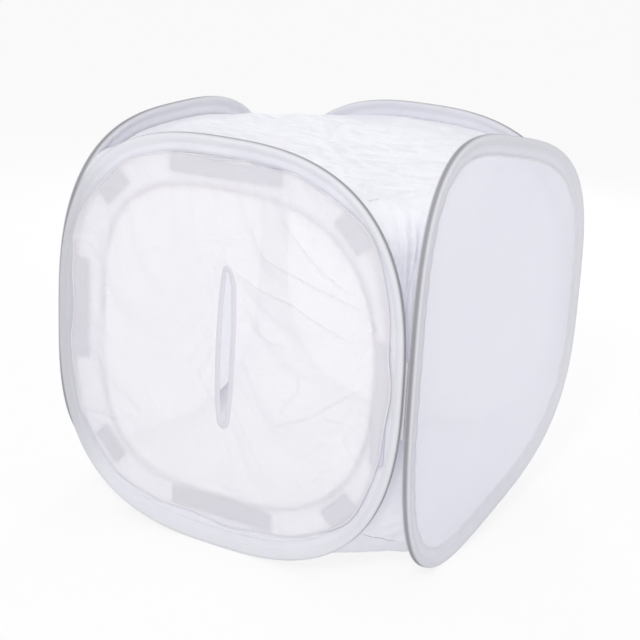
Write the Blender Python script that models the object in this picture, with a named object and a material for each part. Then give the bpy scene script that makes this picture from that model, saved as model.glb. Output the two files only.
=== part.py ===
"""Light tent cube: a pop-up product photography tent about 60 cm across.

Four upright panels of thin white nylon each hang in their own hoop of flat spring steel,
which runs in a sewn hem. The hoops meet at the middle of the four corners, where a strip
of tape joins them, and the panels fold flat on these corners as a parallelogram. A roof, a
floor and four corner gussets close the tent inside the hoops. The front panel is a flange
round a large opening, over which a cover with a slit for the lens is held by pairs of
hook and loop patches, and it lifts on its top edge.

Units are metres, +Z is up and the front faces -Y. The origin is on the table, under the
middle of the tent.
"""

import math
from collections import namedtuple

import bmesh
import bpy
from mathutils import Matrix, Vector

# Plan of the tent
MID = 0.300  # from the tent's upright axis to the middle of each panel's cloth
HEM_HALF = 0.006  # half the thickness of the hem round a hoop, across the panel
HINGE = MID - HEM_HALF  # the corner pivots lie where the inner faces of two hems meet
CORNER_GAP = 0.0005  # a hoop's outer edge stops this far from the pivot line
HALF_WIDTH = HINGE - CORNER_GAP
GAP = 0.0003  # air between two pieces that touch

# Each hoop is a superellipse. A side of the taper's sign is the taller one.
Panel = namedtuple("Panel", "turn height roundness taper")
PANELS = {
    "front": Panel(turn=0, height=0.610, roundness=2.70, taper=0.0),
    "right": Panel(turn=1, height=0.592, roundness=3.30, taper=-0.20),
    "back": Panel(turn=2, height=0.585, roundness=2.65, taper=0.0),
    "left": Panel(turn=3, height=0.585, roundness=2.90, taper=-0.02),
}
STATIONS = 48  # straight pieces round one hoop
TURN_WEIGHT = 0.55  # how much the stations crowd into the corners of a hoop
FINE = 960  # points on which an outline is first worked out

# Spring steel and hem, as sections across the hoop: out along the panel's normal, and in
# from the hoop's outer edge
STEEL_WIDTH = 0.007
STEEL_THICK = 0.001
STEEL_IN = 0.0023
STEEL_END_GAP = 0.001
FERRULE_LENGTH = 0.024
FERRULE_WALL = 0.0004
HEM_WALL = 0.0008
HEM_TUBE = 0.004  # depth of the hem's tube
HEM_DEPTH = 0.015  # depth to the ends of the two legs that hold the panel's edge
HEM_EDGE = 0.0058

# Cloth
CLOTH = 0.001
PANEL_EDGE_IN = 0.008  # the panel's cut edge, inside the hem
SEAM_IN = 0.030  # the seam of roof, floor and gussets, in from the hoop's outer edge
SEAM_CLEAR = 0.0015  # cloth that meets a panel squarely ends this far from its middle
CORNER_SHARE = 0.75  # share of a seam's half width that roof and floor follow
SEAM_SPLIT = 0.0016  # roof and floor end this far from the gussets
FLOOR_FLAT = 0.74  # share of the floor that lies on the table
EDGE_POINTS = 12
CHORD_POINTS = 5
GUSSET_ROWS = 16
GUSSET_COLUMNS = CHORD_POINTS + 1
GUSSET_PULL = 0.10  # how far a gusset's middle is drawn in, as a share of its width

# The roof stands higher than the seams at its corners, where the hoops turn down. Its
# height near the edge is given eight times round, from the right hand side anticlockwise.
ROOF_MIDDLE = 0.550
ROOF_TOPS = (0.564, 0.546, 0.562, 0.545, 0.560, 0.548, 0.578, 0.560)
SHOULDER = 0.86  # share of the way to the edge where the roof begins to turn down
ARCH_POWER = 0.35  # how squarely roof and gusset arch between two seams
ARCH_FADE = 0.70  # share of a gusset's height that the arch leaves as it is
CORNER_OUT = 0.008  # how far a gusset swells outwards below the arch
TAPE_HEIGHT = 0.110
TAPE_LEAF = 0.009
TAPE_THICK = 0.0006

# Front opening and its cover
OPENING_CENTRE = Vector((0.020, 0.309))
OPENING_HALF = Vector((0.228, 0.226))
OPENING_ROUNDNESS = 3.2  # of its left half; its right half is rounder
OPENING_RIGHT_ROUNDNESS = 2.5
OPENING_TAPE = 0.008
OPENING_TAPE_THICK = 0.0006
COVER_CENTRE = Vector((0.002, 0.312))
COVER_HALF = Vector((0.273, 0.274))
COVER_ROUNDNESS = 2.9
COVER_OUT = 0.0038  # middle of the cover's cloth, out from the panel's middle
COVER_BEND = 0.551  # height of the line on which the cover lifts
COVER_BEND_OUT = COVER_OUT + 0.0007  # that line runs just outside the cloth, to clear its edges
COVER_BEND_GAP = 0.0006
COVER_WAVE = 0.002
COVER_WAVES = 9
COVER_RIM_POINTS = 44
COVER_BEND_POINTS = 12
COVER_RINGS = 9
SLIT_CENTRE = Vector((0.0125, 0.311))
SLIT_HALF = Vector((0.0085, 0.1150))
SLIT_BORDER = 0.0080
SLIT_TAPE_THICK = 0.0008

# Folds of the cover: from one point of the panel to another, then height and half width
Fold = namedtuple("Fold", "x0 z0 x1 z1 rise spread")
COVER_FOLDS = (
    Fold(0.087, 0.522, 0.225, 0.418, 0.005, 0.016),
    Fold(0.060, 0.470, 0.225, 0.405, 0.007, 0.018),
    Fold(0.025, 0.428, 0.200, 0.362, 0.006, 0.016),
    Fold(0.059, 0.350, 0.125, 0.332, 0.004, 0.016),
    Fold(0.108, 0.217, 0.235, 0.303, 0.005, 0.016),
    Fold(0.148, 0.132, 0.215, 0.187, 0.004, 0.018),
    Fold(-0.160, 0.240, -0.090, 0.186, 0.003, 0.020),
)
COVER_BELLY = 0.005
BELLY_CENTRE = Vector((0.06, 0.24))
BELLY_SPREAD = 0.15

# Hook and loop patches: centre, width, height and slant in degrees
Patch = namedtuple("Patch", "x z width height slant")
PATCHES = {
    "top": Patch(-0.005, 0.569, 0.190, 0.028, 0),
    "bottom": Patch(0.010, 0.062, 0.175, 0.028, 0),
    "left": Patch(-0.252, 0.318, 0.032, 0.155, 0),
    "right": Patch(0.2605, 0.282, 0.021, 0.175, 0),
    "upper_left": Patch(-0.193, 0.5125, 0.056, 0.030, 45),
    "upper_right": Patch(0.2045, 0.5105, 0.056, 0.030, -45),
    "lower_left": Patch(-0.193, 0.1135, 0.056, 0.030, -45),
    "lower_right": Patch(0.207, 0.1135, 0.056, 0.030, 45),
}
PATCH_THICK = 0.0009
PATCH_CORNER = 0.003
BACKDROP_STRIP = Patch(0.120, 0.500, 0.060, 0.020, 0)

# Colours
WHITE = (0.86, 0.86, 0.90)
PALE = (0.90, 0.90, 0.93)
STEEL = (0.36, 0.36, 0.38)
LAVENDER = (0.72, 0.71, 0.80)


def empty_scene():
    for thing in list(bpy.data.objects):
        bpy.data.objects.remove(thing)


def finish(name, colour, roughness, metallic=0.0):
    made = bpy.data.materials.new(name)
    made.use_nodes = True
    shader = made.node_tree.nodes["Principled BSDF"]
    shader.inputs["Base Color"].default_value = (*colour, 1.0)
    shader.inputs["Roughness"].default_value = roughness
    shader.inputs["Metallic"].default_value = metallic
    made.diffuse_color = (*colour, 1.0)
    return made


# Bodies

def body(name, place, turn=0):
    """An empty on the body's joint axis, which its pieces are parented to."""
    made = bpy.data.objects.new(name + "_body", None)
    made.location = place
    made.rotation_euler.z = math.radians(90 * turn)
    bpy.context.scene.collection.objects.link(made)
    return made


def make_bodies():
    bodies = {
        "front": body("front", (0, 0, 0)),
        "right": body("right", (HINGE, -HINGE, 0), PANELS["right"].turn),
        "back": body("back", (HINGE, HINGE, 0), PANELS["back"].turn),
        "left": body("left", (-HINGE, -HINGE, 0), PANELS["left"].turn),
        "front_cover": body("front_cover", (0, -(MID + COVER_BEND_OUT), COVER_BEND)),
    }
    bpy.context.view_layer.update()
    return bodies


def add_piece(name, shape, owner, material, smooth=None):
    """Makes an object of a bmesh in the tent's frame, and hangs it on its body."""
    mesh = bpy.data.meshes.new(name)
    shape.to_mesh(mesh)
    shape.free()
    mesh.transform(owner.matrix_world.inverted())
    mesh.materials.append(material)
    if smooth is not None:
        mesh.shade_smooth()
        mesh.set_sharp_from_angle(angle=math.radians(smooth))
    piece = bpy.data.objects.new(name, mesh)
    piece.parent = owner
    bpy.context.scene.collection.objects.link(piece)
    return piece


def thicken(piece, thickness, side=0):
    """Gives a sheet its thickness: side 0 on both faces, 1 on the face it looks to."""
    solid = piece.modifiers.new("thickness", "SOLIDIFY")
    solid.thickness = thickness
    solid.offset = side
    solid.use_even_offset = True
    return piece


# Outlines in a panel's plane, as points (across, up)

def superellipse(centre, half, roundness, angle):
    c, s = math.cos(angle), math.sin(angle)
    across = math.copysign(abs(c) ** (2 / roundness), c) * half.x
    up = math.copysign(abs(s) ** (2 / roundness), s) * half.y
    return centre + Vector((across, up))


def hoop_outline(panel):
    """The outer edge of a panel's hem, anticlockwise from the middle of its foot."""
    half = Vector((HALF_WIDTH, panel.height / 2))
    points = []
    for i in range(FINE):
        angle = 2 * math.pi * i / FINE - math.pi / 2
        p = superellipse(Vector((0, 0)), half, panel.roundness, angle)
        p.y *= 1 + panel.taper * p.x / HALF_WIDTH
        points.append(p)
    lowest = min(p.y for p in points)
    return [Vector((p.x, p.y - lowest)) for p in points]


def inward(points):
    """The inward normal at each point of a closed anticlockwise outline."""
    normals = []
    for i in range(len(points)):
        along = points[(i + 1) % len(points)] - points[i - 1]
        normals.append(Vector((-along.y, along.x)).normalized())
    return normals


def hoop_stations(panel):
    """Points and inward normals round a hoop, closer together where it turns."""
    points = hoop_outline(panel)
    normals = inward(points)
    measure = [0.0]
    length = sum((points[i] - points[i - 1]).length for i in range(FINE))
    for i in range(FINE):
        step = (points[(i + 1) % FINE] - points[i]).length / length
        turn = normals[i].angle(normals[(i + 1) % FINE]) / (2 * math.pi)
        measure.append(measure[-1] + (1 - TURN_WEIGHT) * step + TURN_WEIGHT * turn)
    chosen = []
    at = 0
    for i in range(STATIONS):
        wanted = measure[-1] * i / STATIONS
        while measure[at + 1] < wanted:
            at += 1
        chosen.append((points[at], normals[at]))
    return chosen


def on_panel(panel, across, out, up):
    """A point of the tent's frame, from a panel's own: across it, out of it and up."""
    spin = Matrix.Rotation(math.radians(90 * panel.turn), 3, "Z")
    return spin @ Vector((across, -(MID + out), up))


def section_point(panel, station, out, depth):
    point, normal = station
    at = point + normal * depth
    return on_panel(panel, at.x, out, at.y)


# Solids

def loft(rings, closed_path):
    """A closed surface through rings of equally many points, each ring a closed section."""
    shape = bmesh.new()
    made = [[shape.verts.new(p) for p in ring] for ring in rings]
    pairs = list(zip(made, made[1:]))
    if closed_path:
        pairs.append((made[-1], made[0]))
    for first, second in pairs:
        for i in range(len(first)):
            j = (i + 1) % len(first)
            shape.faces.new((first[i], first[j], second[j], second[i]))
    if not closed_path:
        shape.faces.new(list(reversed(made[0])))
        shape.faces.new(made[-1])
    bmesh.ops.recalc_face_normals(shape, faces=shape.faces)
    return shape


def rings_to_sheet(rings, centre=None):
    """A sheet of quads between closed rings, from the outer ring in, and maybe a centre."""
    shape = bmesh.new()
    made = [[shape.verts.new(p) for p in ring] for ring in rings]
    for outer, inner in zip(made, made[1:]):
        for i in range(len(outer)):
            j = (i + 1) % len(outer)
            shape.faces.new((outer[i], outer[j], inner[j], inner[i]))
    if centre is not None:
        hub = shape.verts.new(centre)
        last = made[-1]
        for i in range(len(last)):
            shape.faces.new((last[i], last[(i + 1) % len(last)], hub))
    return shape


def grid_to_sheet(rows):
    shape = bmesh.new()
    made = [[shape.verts.new(p) for p in row] for row in rows]
    for low, high in zip(made, made[1:]):
        for i in range(len(low) - 1):
            shape.faces.new((low[i], low[i + 1], high[i + 1], high[i]))
    return shape


# Hoops and their hems

def hem_section():
    """Outer then inner line of the folded hem, as (out, depth)."""
    leg = CLOTH / 2 + GAP
    outer = [(leg + HEM_WALL, HEM_DEPTH), (HEM_HALF, HEM_TUBE), (HEM_EDGE, 0.0)]
    inner = [
        (HEM_EDGE - HEM_WALL, HEM_WALL),
        (HEM_HALF - HEM_WALL, HEM_TUBE),
        (leg, HEM_DEPTH),
    ]
    mirrored_outer = [(-out, depth) for out, depth in reversed(outer)]
    mirrored_inner = [(-out, depth) for out, depth in reversed(inner)]
    return outer + mirrored_outer + mirrored_inner + inner


def make_hem(name, panel, owner, material):
    section = hem_section()
    rings = []
    for station in hoop_stations(panel):
        rings.append([section_point(panel, station, out, depth) for out, depth in section])
    return add_piece(name + "_hoop_hem", loft(rings, True), owner, material, 35)


def foot_facet(panel):
    """The straight piece of hoop next to the middle of its foot: middle and direction."""
    stations = hoop_stations(panel)
    (first, _), (second, _) = stations[0], stations[1]
    along = (second - first).normalized()
    return (first + second) / 2, along, Vector((-along.y, along.x))


def make_hoop(name, panel, owner, material):
    """A flat spring steel strip, its wide face outwards, whose ends nearly meet."""
    middle, along, normal = foot_facet(panel)
    stations = hoop_stations(panel)
    path = [(middle + along * STEEL_END_GAP / 2, normal)]
    path += stations[1:] + stations[:1]
    path.append((middle - along * STEEL_END_GAP / 2, normal))
    w, t = STEEL_WIDTH / 2, STEEL_THICK / 2
    section = [(-w, STEEL_IN - t), (w, STEEL_IN - t), (w, STEEL_IN + t), (-w, STEEL_IN + t)]
    rings = [[section_point(panel, s, out, depth) for out, depth in section] for s in path]
    return add_piece(name + "_hoop", loft(rings, False), owner, material, 35)


def make_ferrule(name, panel, owner, material):
    """The crimped steel tube over the two ends of the hoop."""
    middle, along, normal = foot_facet(panel)
    half_out = STEEL_WIDTH / 2 + GAP + FERRULE_WALL / 2
    half_deep = STEEL_THICK / 2 + GAP + FERRULE_WALL / 2
    corners = [(-1, -1), (1, -1), (1, 1), (-1, 1)]
    rows = []
    for end in (-0.5, 0.5):
        station = (middle + along * FERRULE_LENGTH * end, normal)
        row = []
        for a, b in corners + corners[:1]:
            row.append(section_point(panel, station, a * half_out, STEEL_IN + b * half_deep))
        rows.append(row)
    shape = grid_to_sheet(rows)
    bmesh.ops.remove_doubles(shape, verts=shape.verts, dist=1e-6)
    bmesh.ops.recalc_face_normals(shape, faces=shape.faces)
    piece = add_piece(name + "_hoop_ferrule", shape, owner, material)
    return thicken(piece, FERRULE_WALL)


# Panels

def panel_edge(panel):
    return [point + normal * PANEL_EDGE_IN for point, normal in hoop_stations(panel)]


def make_panel(name, panel, owner, material):
    shape = bmesh.new()
    shape.faces.new([shape.verts.new(on_panel(panel, p.x, 0, p.y)) for p in panel_edge(panel)])
    return thicken(add_piece(name + "_panel", shape, owner, material), CLOTH)


def ring_on_front(inner, outer, out):
    """A flat ring in the front panel between two outlines of equally many points."""
    front = PANELS["front"]
    rings = []
    for line in (outer, inner):
        rings.append([on_panel(front, p.x, out, p.y) for p in line])
    return rings_to_sheet(rings)


def opening_line(grown):
    """The edge of the front opening, or a line round it, grown by this much."""
    half = OPENING_HALF + Vector((grown, grown))
    line = []
    for point, _ in hoop_stations(PANELS["front"]):
        away = point - OPENING_CENTRE
        roundness = opening_roundness(away.x)
        angle = opening_angle(math.atan2(away.y / half.y, away.x / half.x), roundness)
        line.append(superellipse(OPENING_CENTRE, half, roundness, angle))
    return line


def opening_roundness(across):
    return OPENING_ROUNDNESS if across < 0 else OPENING_RIGHT_ROUNDNESS


def opening_angle(direction, roundness):
    """The superellipse angle of the point that lies in a direction from the centre."""
    c, s = math.cos(direction), math.sin(direction)
    power = roundness / 2
    return math.atan2(
        math.copysign(abs(s) ** power, s),
        math.copysign(abs(c) ** power, c),
    )


def make_flange(owner, cloth, tape):
    shape = ring_on_front(opening_line(0), panel_edge(PANELS["front"]), 0)
    thicken(add_piece("front_flange", shape, owner, cloth), CLOTH)
    out = -(CLOTH / 2 + GAP + OPENING_TAPE_THICK / 2)
    shape = ring_on_front(opening_line(0.0002), opening_line(OPENING_TAPE), out)
    thicken(add_piece("opening_binding", shape, owner, tape), OPENING_TAPE_THICK)


# Roof, floor and gussets

def seam_line(panel):
    points = hoop_outline(panel)
    return [p + n * SEAM_IN for p, n in zip(points, inward(points))]


def pick_evenly(points, count):
    """Points at equal steps along an open line, its ends included."""
    length = [0.0]
    for a, b in zip(points, points[1:]):
        length.append(length[-1] + (b - a).length)
    picked = []
    at = 0
    for i in range(count):
        wanted = length[-1] * i / (count - 1)
        while at < len(points) - 2 and length[at + 1] < wanted:
            at += 1
        share = (wanted - length[at]) / (length[at + 1] - length[at])
        picked.append(points[at].lerp(points[at + 1], share))
    return picked


def seam_arcs(panel):
    """The seam's four stretches: along the floor, up the right, along the roof, down."""
    line = seam_line(panel)
    limit = CORNER_SHARE * (HALF_WIDTH - SEAM_IN)
    middle = sum(p.y for p in line) / len(line)
    start = next(i for i, p in enumerate(line) if p.x > limit)
    turned = line[start:] + line[:start]
    right = [p for p in turned if p.x > limit]
    left = [p for p in turned if p.x < -limit]
    roof = [p for p in turned if abs(p.x) <= limit and p.y > middle]
    floor = [p for p in turned if abs(p.x) <= limit and p.y < middle]
    return floor, right, roof, left


def seam_points(panel, arc, count):
    return [on_panel(panel, p.x, -SEAM_CLEAR, p.y) for p in pick_evenly(arc, count)]


def roof_top(p):
    """Height that the roof's cloth keeps near its edge, in the direction of a point."""
    turn = math.atan2(p.y, p.x) / (2 * math.pi) * len(ROOF_TOPS)
    before = math.floor(turn)
    share = smooth_step(turn - before)
    low = ROOF_TOPS[before % len(ROOF_TOPS)]
    high = ROOF_TOPS[(before + 1) % len(ROOF_TOPS)]
    return low * (1 - share) + high * share


def smooth_step(x):
    x = min(1.0, max(0.0, x))
    return x * x * (3 - 2 * x)


def corner_row(a, b):
    """The line where roof and gusset meet, which arches from a to b at the roof's height."""
    row = []
    for i in range(GUSSET_COLUMNS + 1):
        share = i / GUSSET_COLUMNS
        p = a.lerp(b, share)
        p.z += max(0.0, roof_top(p) - p.z) * math.sin(math.pi * share) ** ARCH_POWER
        row.append(p)
    return row


def sheet_border(which):
    """The edge of the roof or the floor, anticlockwise from above."""
    names = ("front", "right", "back", "left")
    stretches = []
    for name in names:
        floor, _, roof, _ = seam_arcs(PANELS[name])
        arc = floor if which == "floor" else list(reversed(roof))
        stretches.append(seam_points(PANELS[name], arc, EDGE_POINTS))
    border = []
    for i, stretch in enumerate(stretches):
        after = stretches[(i + 1) % len(stretches)]
        border += stretch
        if which == "roof":
            border += corner_row(stretch[-1], after[0])[1:-1]
            continue
        for k in range(CHORD_POINTS):
            border.append(stretch[-1].lerp(after[0], (k + 1) / (CHORD_POINTS + 1)))
    lift = SEAM_SPLIT if which == "roof" else -SEAM_SPLIT
    corner = Vector((0, 0, lift))
    return [p + corner for p in border]


def make_roof(owner, material):
    border = sheet_border("roof")
    rings = []
    for share in (1.0, 0.975, 0.945, 0.90, 0.82, 0.62, 0.34):
        fall = max(0.0, (share - SHOULDER) / (1 - SHOULDER)) ** 2
        ring = []
        for p in border:
            top = roof_top(p)
            up = ROOF_MIDDLE + (top - ROOF_MIDDLE) * share**1.6 + (p.z - top) * fall
            ring.append(Vector((p.x * share, p.y * share, up)))
        rings.append(ring)
    shape = rings_to_sheet(rings, Vector((0, 0, ROOF_MIDDLE)))
    return thicken(add_piece("top_panel", shape, owner, material, 40), CLOTH)


def make_floor(owner, material):
    """The floor lies on the table, and rises to the seams at its edge."""
    border = sheet_border("floor")
    rings = []
    for share in (1.0, 0.915, 0.83, FLOOR_FLAT):
        rise = (share - FLOOR_FLAT) / (1 - FLOOR_FLAT)
        ring = []
        for p in border:
            ring.append(Vector((p.x * share, p.y * share, p.z * rise**1.5)))
        rings.append(ring)
    shape = rings_to_sheet(rings, Vector((0, 0, 0)))
    return thicken(add_piece("bottom_panel", shape, owner, material, 40), CLOTH, 1)


def make_gusset(name, first, second, owner, material):
    """The upright strip from one panel's right hand seam to the next one's left hand."""
    _, right, _, _ = seam_arcs(PANELS[first])
    _, _, _, left = seam_arcs(PANELS[second])
    up = seam_points(PANELS[first], right, GUSSET_ROWS)
    down = seam_points(PANELS[second], list(reversed(left)), GUSSET_ROWS)
    arch = corner_row(up[-1], down[-1])
    rows = []
    for k, (a, b) in enumerate(zip(up, down)):
        level = k / (GUSSET_ROWS - 1)
        centre = Vector((-a.x - b.x, -a.y - b.y, 0)).normalized()
        middle = GUSSET_PULL * (b - a).length * math.sin(math.pi * level)
        swell = CORNER_OUT * math.exp(-(((level - 0.9) / 0.09) ** 2)) if level < 1 else 0.0
        row = []
        for i, top in enumerate(arch):
            share = i / GUSSET_COLUMNS
            pull = middle * 4 * share * (1 - share) - swell * math.sin(math.pi * share)
            rise = (top - up[-1].lerp(down[-1], share)) * smooth_step((level - ARCH_FADE) / (1 - ARCH_FADE))
            row.append(a.lerp(b, share) + centre * pull + rise)
        rows.append(row)
    return thicken(add_piece(name, grid_to_sheet(rows), owner, material, 40), CLOTH)


def make_corner_tape(name, side_x, side_y, owner, material):
    """A tape folded in the corner, a leaf on the inner face of each of the two hems."""
    near, far = GAP, GAP + TAPE_THICK
    line = [(near, near), (TAPE_LEAF, near), (TAPE_LEAF, far)]
    line += [(far, far), (far, TAPE_LEAF), (near, TAPE_LEAF)]
    middle = min(PANELS["front"].height, PANELS["back"].height) / 2
    rings = []
    for up in (middle - TAPE_HEIGHT / 2, middle + TAPE_HEIGHT / 2):
        ring = [Vector((side_x * (HINGE - a), side_y * (HINGE - b), up)) for a, b in line]
        rings.append(ring)
    return add_piece(name, loft(rings, False), owner, material)


# Cover

def cover_bulge(x, z):
    """How far the cover stands out of its plane: a soft belly and its folds."""
    off = Vector((x, z)) - BELLY_CENTRE
    out = COVER_BELLY * math.exp(-((off.length / BELLY_SPREAD) ** 2))
    for fold in COVER_FOLDS:
        start = Vector((fold.x0, fold.z0))
        line = Vector((fold.x1, fold.z1)) - start
        share = (Vector((x, z)) - start).dot(line) / line.length_squared
        nearest = start + line * min(max(share, 0), 1)
        away = (Vector((x, z)) - nearest).length
        out += fold.rise * math.exp(-((away / fold.spread) ** 2))
    return out * edge_fade(x, z)


def edge_fade(x, z):
    """1 over the free cloth of the cover, and 0 where it lies on patches or turns."""
    across = (Vector((x, z)) - OPENING_CENTRE).x / (OPENING_HALF.x + OPENING_TAPE)
    up = (Vector((x, z)) - OPENING_CENTRE).y / (OPENING_HALF.y + OPENING_TAPE)
    roundness = opening_roundness(across)
    reach = abs(across) ** roundness + abs(up) ** roundness
    return min(1.0, max(0.0, 1.25 * (1 - reach)))


def cover_bend_half():
    """Half the width of the cover at its bend line."""
    up = (COVER_BEND - COVER_CENTRE.y) / COVER_HALF.y
    return COVER_HALF.x * (1 - up**COVER_ROUNDNESS) ** (1 / COVER_ROUNDNESS)


def cover_rim():
    """The loose wavy edge of the cover below its bend line, and then the bend line."""
    half = cover_bend_half()
    top = COVER_BEND - COVER_BEND_GAP
    arc = []
    for i in range(FINE):
        angle = math.pi / 2 - 2 * math.pi * i / FINE
        p = superellipse(COVER_CENTRE, COVER_HALF, COVER_ROUNDNESS, angle)
        if p.y < top:
            wave = COVER_WAVE * math.sin(COVER_WAVES * angle)
            fade = min(1.0, (top - p.y) / 0.05)
            arc.append(p + (p - COVER_CENTRE).normalized() * wave * fade)
    rim = pick_evenly(arc, COVER_RIM_POINTS)
    left = Vector((COVER_CENTRE.x - half, top))
    right = Vector((COVER_CENTRE.x + half, top))
    for i in range(COVER_BEND_POINTS):
        rim.append(left.lerp(right, (i + 0.5) / COVER_BEND_POINTS))
    return rim


def slit_line(rim, grown):
    """The slit's edge, or a line round it, with a point for each point of the rim."""
    line = []
    for p in rim:
        away = p - SLIT_CENTRE
        angle = math.atan2(away.y, away.x)
        narrow = abs(math.cos(angle)) ** 0.35
        across = (SLIT_HALF.x + grown) * math.cos(angle) * narrow
        up = (SLIT_HALF.y + grown) * math.sin(angle)
        line.append(SLIT_CENTRE + Vector((across, up)))
    return line


def cover_point(p, extra=0.0):
    out = COVER_OUT + cover_bulge(p.x, p.y) + extra
    return on_panel(PANELS["front"], p.x, out, p.y)


def make_cover(bodies, cloth, tape):
    rim = cover_rim()
    border = slit_line(rim, SLIT_BORDER)
    lines = []
    for k in range(COVER_RINGS):
        share = (k / (COVER_RINGS - 1)) ** 1.15
        lines.append([a.lerp(b, share) for a, b in zip(rim, border)])
    edge = slit_line(rim, 0.0)
    rings = [[cover_point(p) for p in line] for line in lines + [edge]]
    shape = rings_to_sheet(rings)
    owner = bodies["front_cover"]
    thicken(add_piece("front_cover", shape, owner, cloth, 40), CLOTH)
    above = CLOTH / 2 + GAP + SLIT_TAPE_THICK / 2
    rings = [[cover_point(p, above) for p in line] for line in (border, edge)]
    thicken(add_piece("slit_binding", rings_to_sheet(rings), owner, tape), SLIT_TAPE_THICK)
    make_cover_header(bodies["front"], cloth)


def make_cover_header(owner, material):
    """The top of the cover, above the bend, which stays on its patch when it lifts."""
    foot = COVER_BEND + COVER_BEND_GAP
    half = cover_bend_half() * 0.97
    low, high = [], []
    for i in range(COVER_BEND_POINTS + 1):
        x = COVER_CENTRE.x - half + 2 * half * i / COVER_BEND_POINTS
        share = abs(x - COVER_CENTRE.x) / COVER_HALF.x
        rise = (1 - share**COVER_ROUNDNESS) ** (1 / COVER_ROUNDNESS)
        low.append(on_panel(PANELS["front"], x, COVER_OUT, foot))
        high.append(on_panel(PANELS["front"], x, COVER_OUT, COVER_CENTRE.y + COVER_HALF.y * rise))
    shape = grid_to_sheet([low, high])
    return thicken(add_piece("cover_header", shape, owner, material), CLOTH)


# Patches

def patch_line(patch):
    """A rectangle with its corners nipped off, turned by the patch's slant."""
    w, h, c = patch.width / 2, patch.height / 2, PATCH_CORNER
    corners = [(w, h - c), (w - c, h), (c - w, h), (-w, h - c)]
    corners += [(-w, c - h), (c - w, -h), (w - c, -h), (w, c - h)]
    spin = Matrix.Rotation(math.radians(patch.slant), 2)
    return [Vector((patch.x, patch.z)) + spin @ Vector(p) for p in corners]


def make_patch(name, patch, panel, out, owner, material):
    shape = bmesh.new()
    points = [on_panel(panel, p.x, out, p.y) for p in patch_line(patch)]
    shape.faces.new([shape.verts.new(p) for p in points])
    return thicken(add_piece(name, shape, owner, material), PATCH_THICK)


def make_patches(bodies, loop, hook):
    """Each loop patch is on the flange, and its hook patch on the back of the cover."""
    front = PANELS["front"]
    loop_out = CLOTH / 2 + GAP + PATCH_THICK / 2
    hook_out = COVER_OUT - CLOTH / 2 - GAP - PATCH_THICK / 2
    for name, patch in PATCHES.items():
        make_patch("loop_patch_" + name, patch, front, loop_out, bodies["front"], loop)
        owner = bodies["front" if name == "top" else "front_cover"]
        make_patch("hook_patch_" + name, patch, front, hook_out, owner, hook)


def make_backdrop_strips(owner, material):
    back = PANELS["back"]
    out = -(CLOTH / 2 + GAP + PATCH_THICK / 2)
    for side, sign in (("left", 1), ("right", -1)):
        strip = BACKDROP_STRIP._replace(x=sign * BACKDROP_STRIP.x)
        make_patch("backdrop_strip_" + side, strip, back, out, owner, material)


def main():
    empty_scene()
    cloth = finish("tent_cloth", WHITE, 0.70)
    opaque = finish("body_cloth", PALE, 0.75)
    tape = finish("white_tape", PALE, 0.80)
    steel = finish("spring_steel", STEEL, 0.35, 1.0)
    loop = finish("loop_tape", LAVENDER, 0.90)
    hook = finish("hook_tape", LAVENDER, 0.80)
    bodies = make_bodies()
    for name, panel in PANELS.items():
        make_hem(name, panel, bodies[name], tape)
        make_hoop(name, panel, bodies[name], steel)
        make_ferrule(name, panel, bodies[name], steel)
        if name != "front":
            make_panel(name, panel, bodies[name], cloth)
    make_flange(bodies["front"], cloth, tape)
    make_roof(bodies["front"], opaque)
    make_floor(bodies["front"], opaque)
    make_gusset("gusset_front_right", "front", "right", bodies["front"], opaque)
    make_gusset("gusset_back_right", "right", "back", bodies["right"], opaque)
    make_gusset("gusset_back_left", "back", "left", bodies["back"], opaque)
    make_gusset("gusset_front_left", "left", "front", bodies["front"], opaque)
    make_corner_tape("corner_tape_front_right", 1, -1, bodies["front"], tape)
    make_corner_tape("corner_tape_back_right", 1, 1, bodies["right"], tape)
    make_corner_tape("corner_tape_back_left", -1, 1, bodies["back"], tape)
    make_corner_tape("corner_tape_front_left", -1, -1, bodies["front"], tape)
    make_cover(bodies, cloth, tape)
    make_patches(bodies, loop, hook)
    make_backdrop_strips(bodies["back"], loop)


main()
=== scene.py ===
"""Looks of the light tent cube: crinkled white nylon on four sprung hoops.

The outlines are worked out from the same driving dimensions as the solids. The body of the
tent and its front cover are cut as flat cloth, a little too large, and simulated while they
hang from their seams and patches. Units are metres, +Z is up and the front faces -Y.
"""

import math
from collections import namedtuple

import bmesh
import bpy
import numpy as np
from mathutils import Matrix, Vector, noise
from mathutils.bvhtree import BVHTree
from mathutils.geometry import delaunay_2d_cdt

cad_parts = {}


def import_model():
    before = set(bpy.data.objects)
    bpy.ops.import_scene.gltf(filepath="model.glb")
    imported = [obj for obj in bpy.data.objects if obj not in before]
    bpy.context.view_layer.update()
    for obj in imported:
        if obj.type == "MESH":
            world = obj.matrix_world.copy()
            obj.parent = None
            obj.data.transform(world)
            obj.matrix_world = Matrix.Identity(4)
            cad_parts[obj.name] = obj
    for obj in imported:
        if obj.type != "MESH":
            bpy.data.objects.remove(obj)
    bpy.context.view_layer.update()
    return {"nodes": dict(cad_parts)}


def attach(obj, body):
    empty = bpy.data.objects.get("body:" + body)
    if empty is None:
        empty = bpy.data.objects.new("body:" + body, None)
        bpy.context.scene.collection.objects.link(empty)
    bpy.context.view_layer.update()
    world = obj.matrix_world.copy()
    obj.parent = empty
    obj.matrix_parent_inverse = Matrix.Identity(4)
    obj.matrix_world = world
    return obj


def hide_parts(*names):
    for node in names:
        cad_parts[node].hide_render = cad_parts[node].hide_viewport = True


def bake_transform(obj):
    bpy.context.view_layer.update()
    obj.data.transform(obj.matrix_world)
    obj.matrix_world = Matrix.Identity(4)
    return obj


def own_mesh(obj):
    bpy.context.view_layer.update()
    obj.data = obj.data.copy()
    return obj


# Driving dimensions, those of the solids but for SEAM_CLEAR and the height of the top patch
MID = 0.300
HEM_HALF = 0.006
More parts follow.
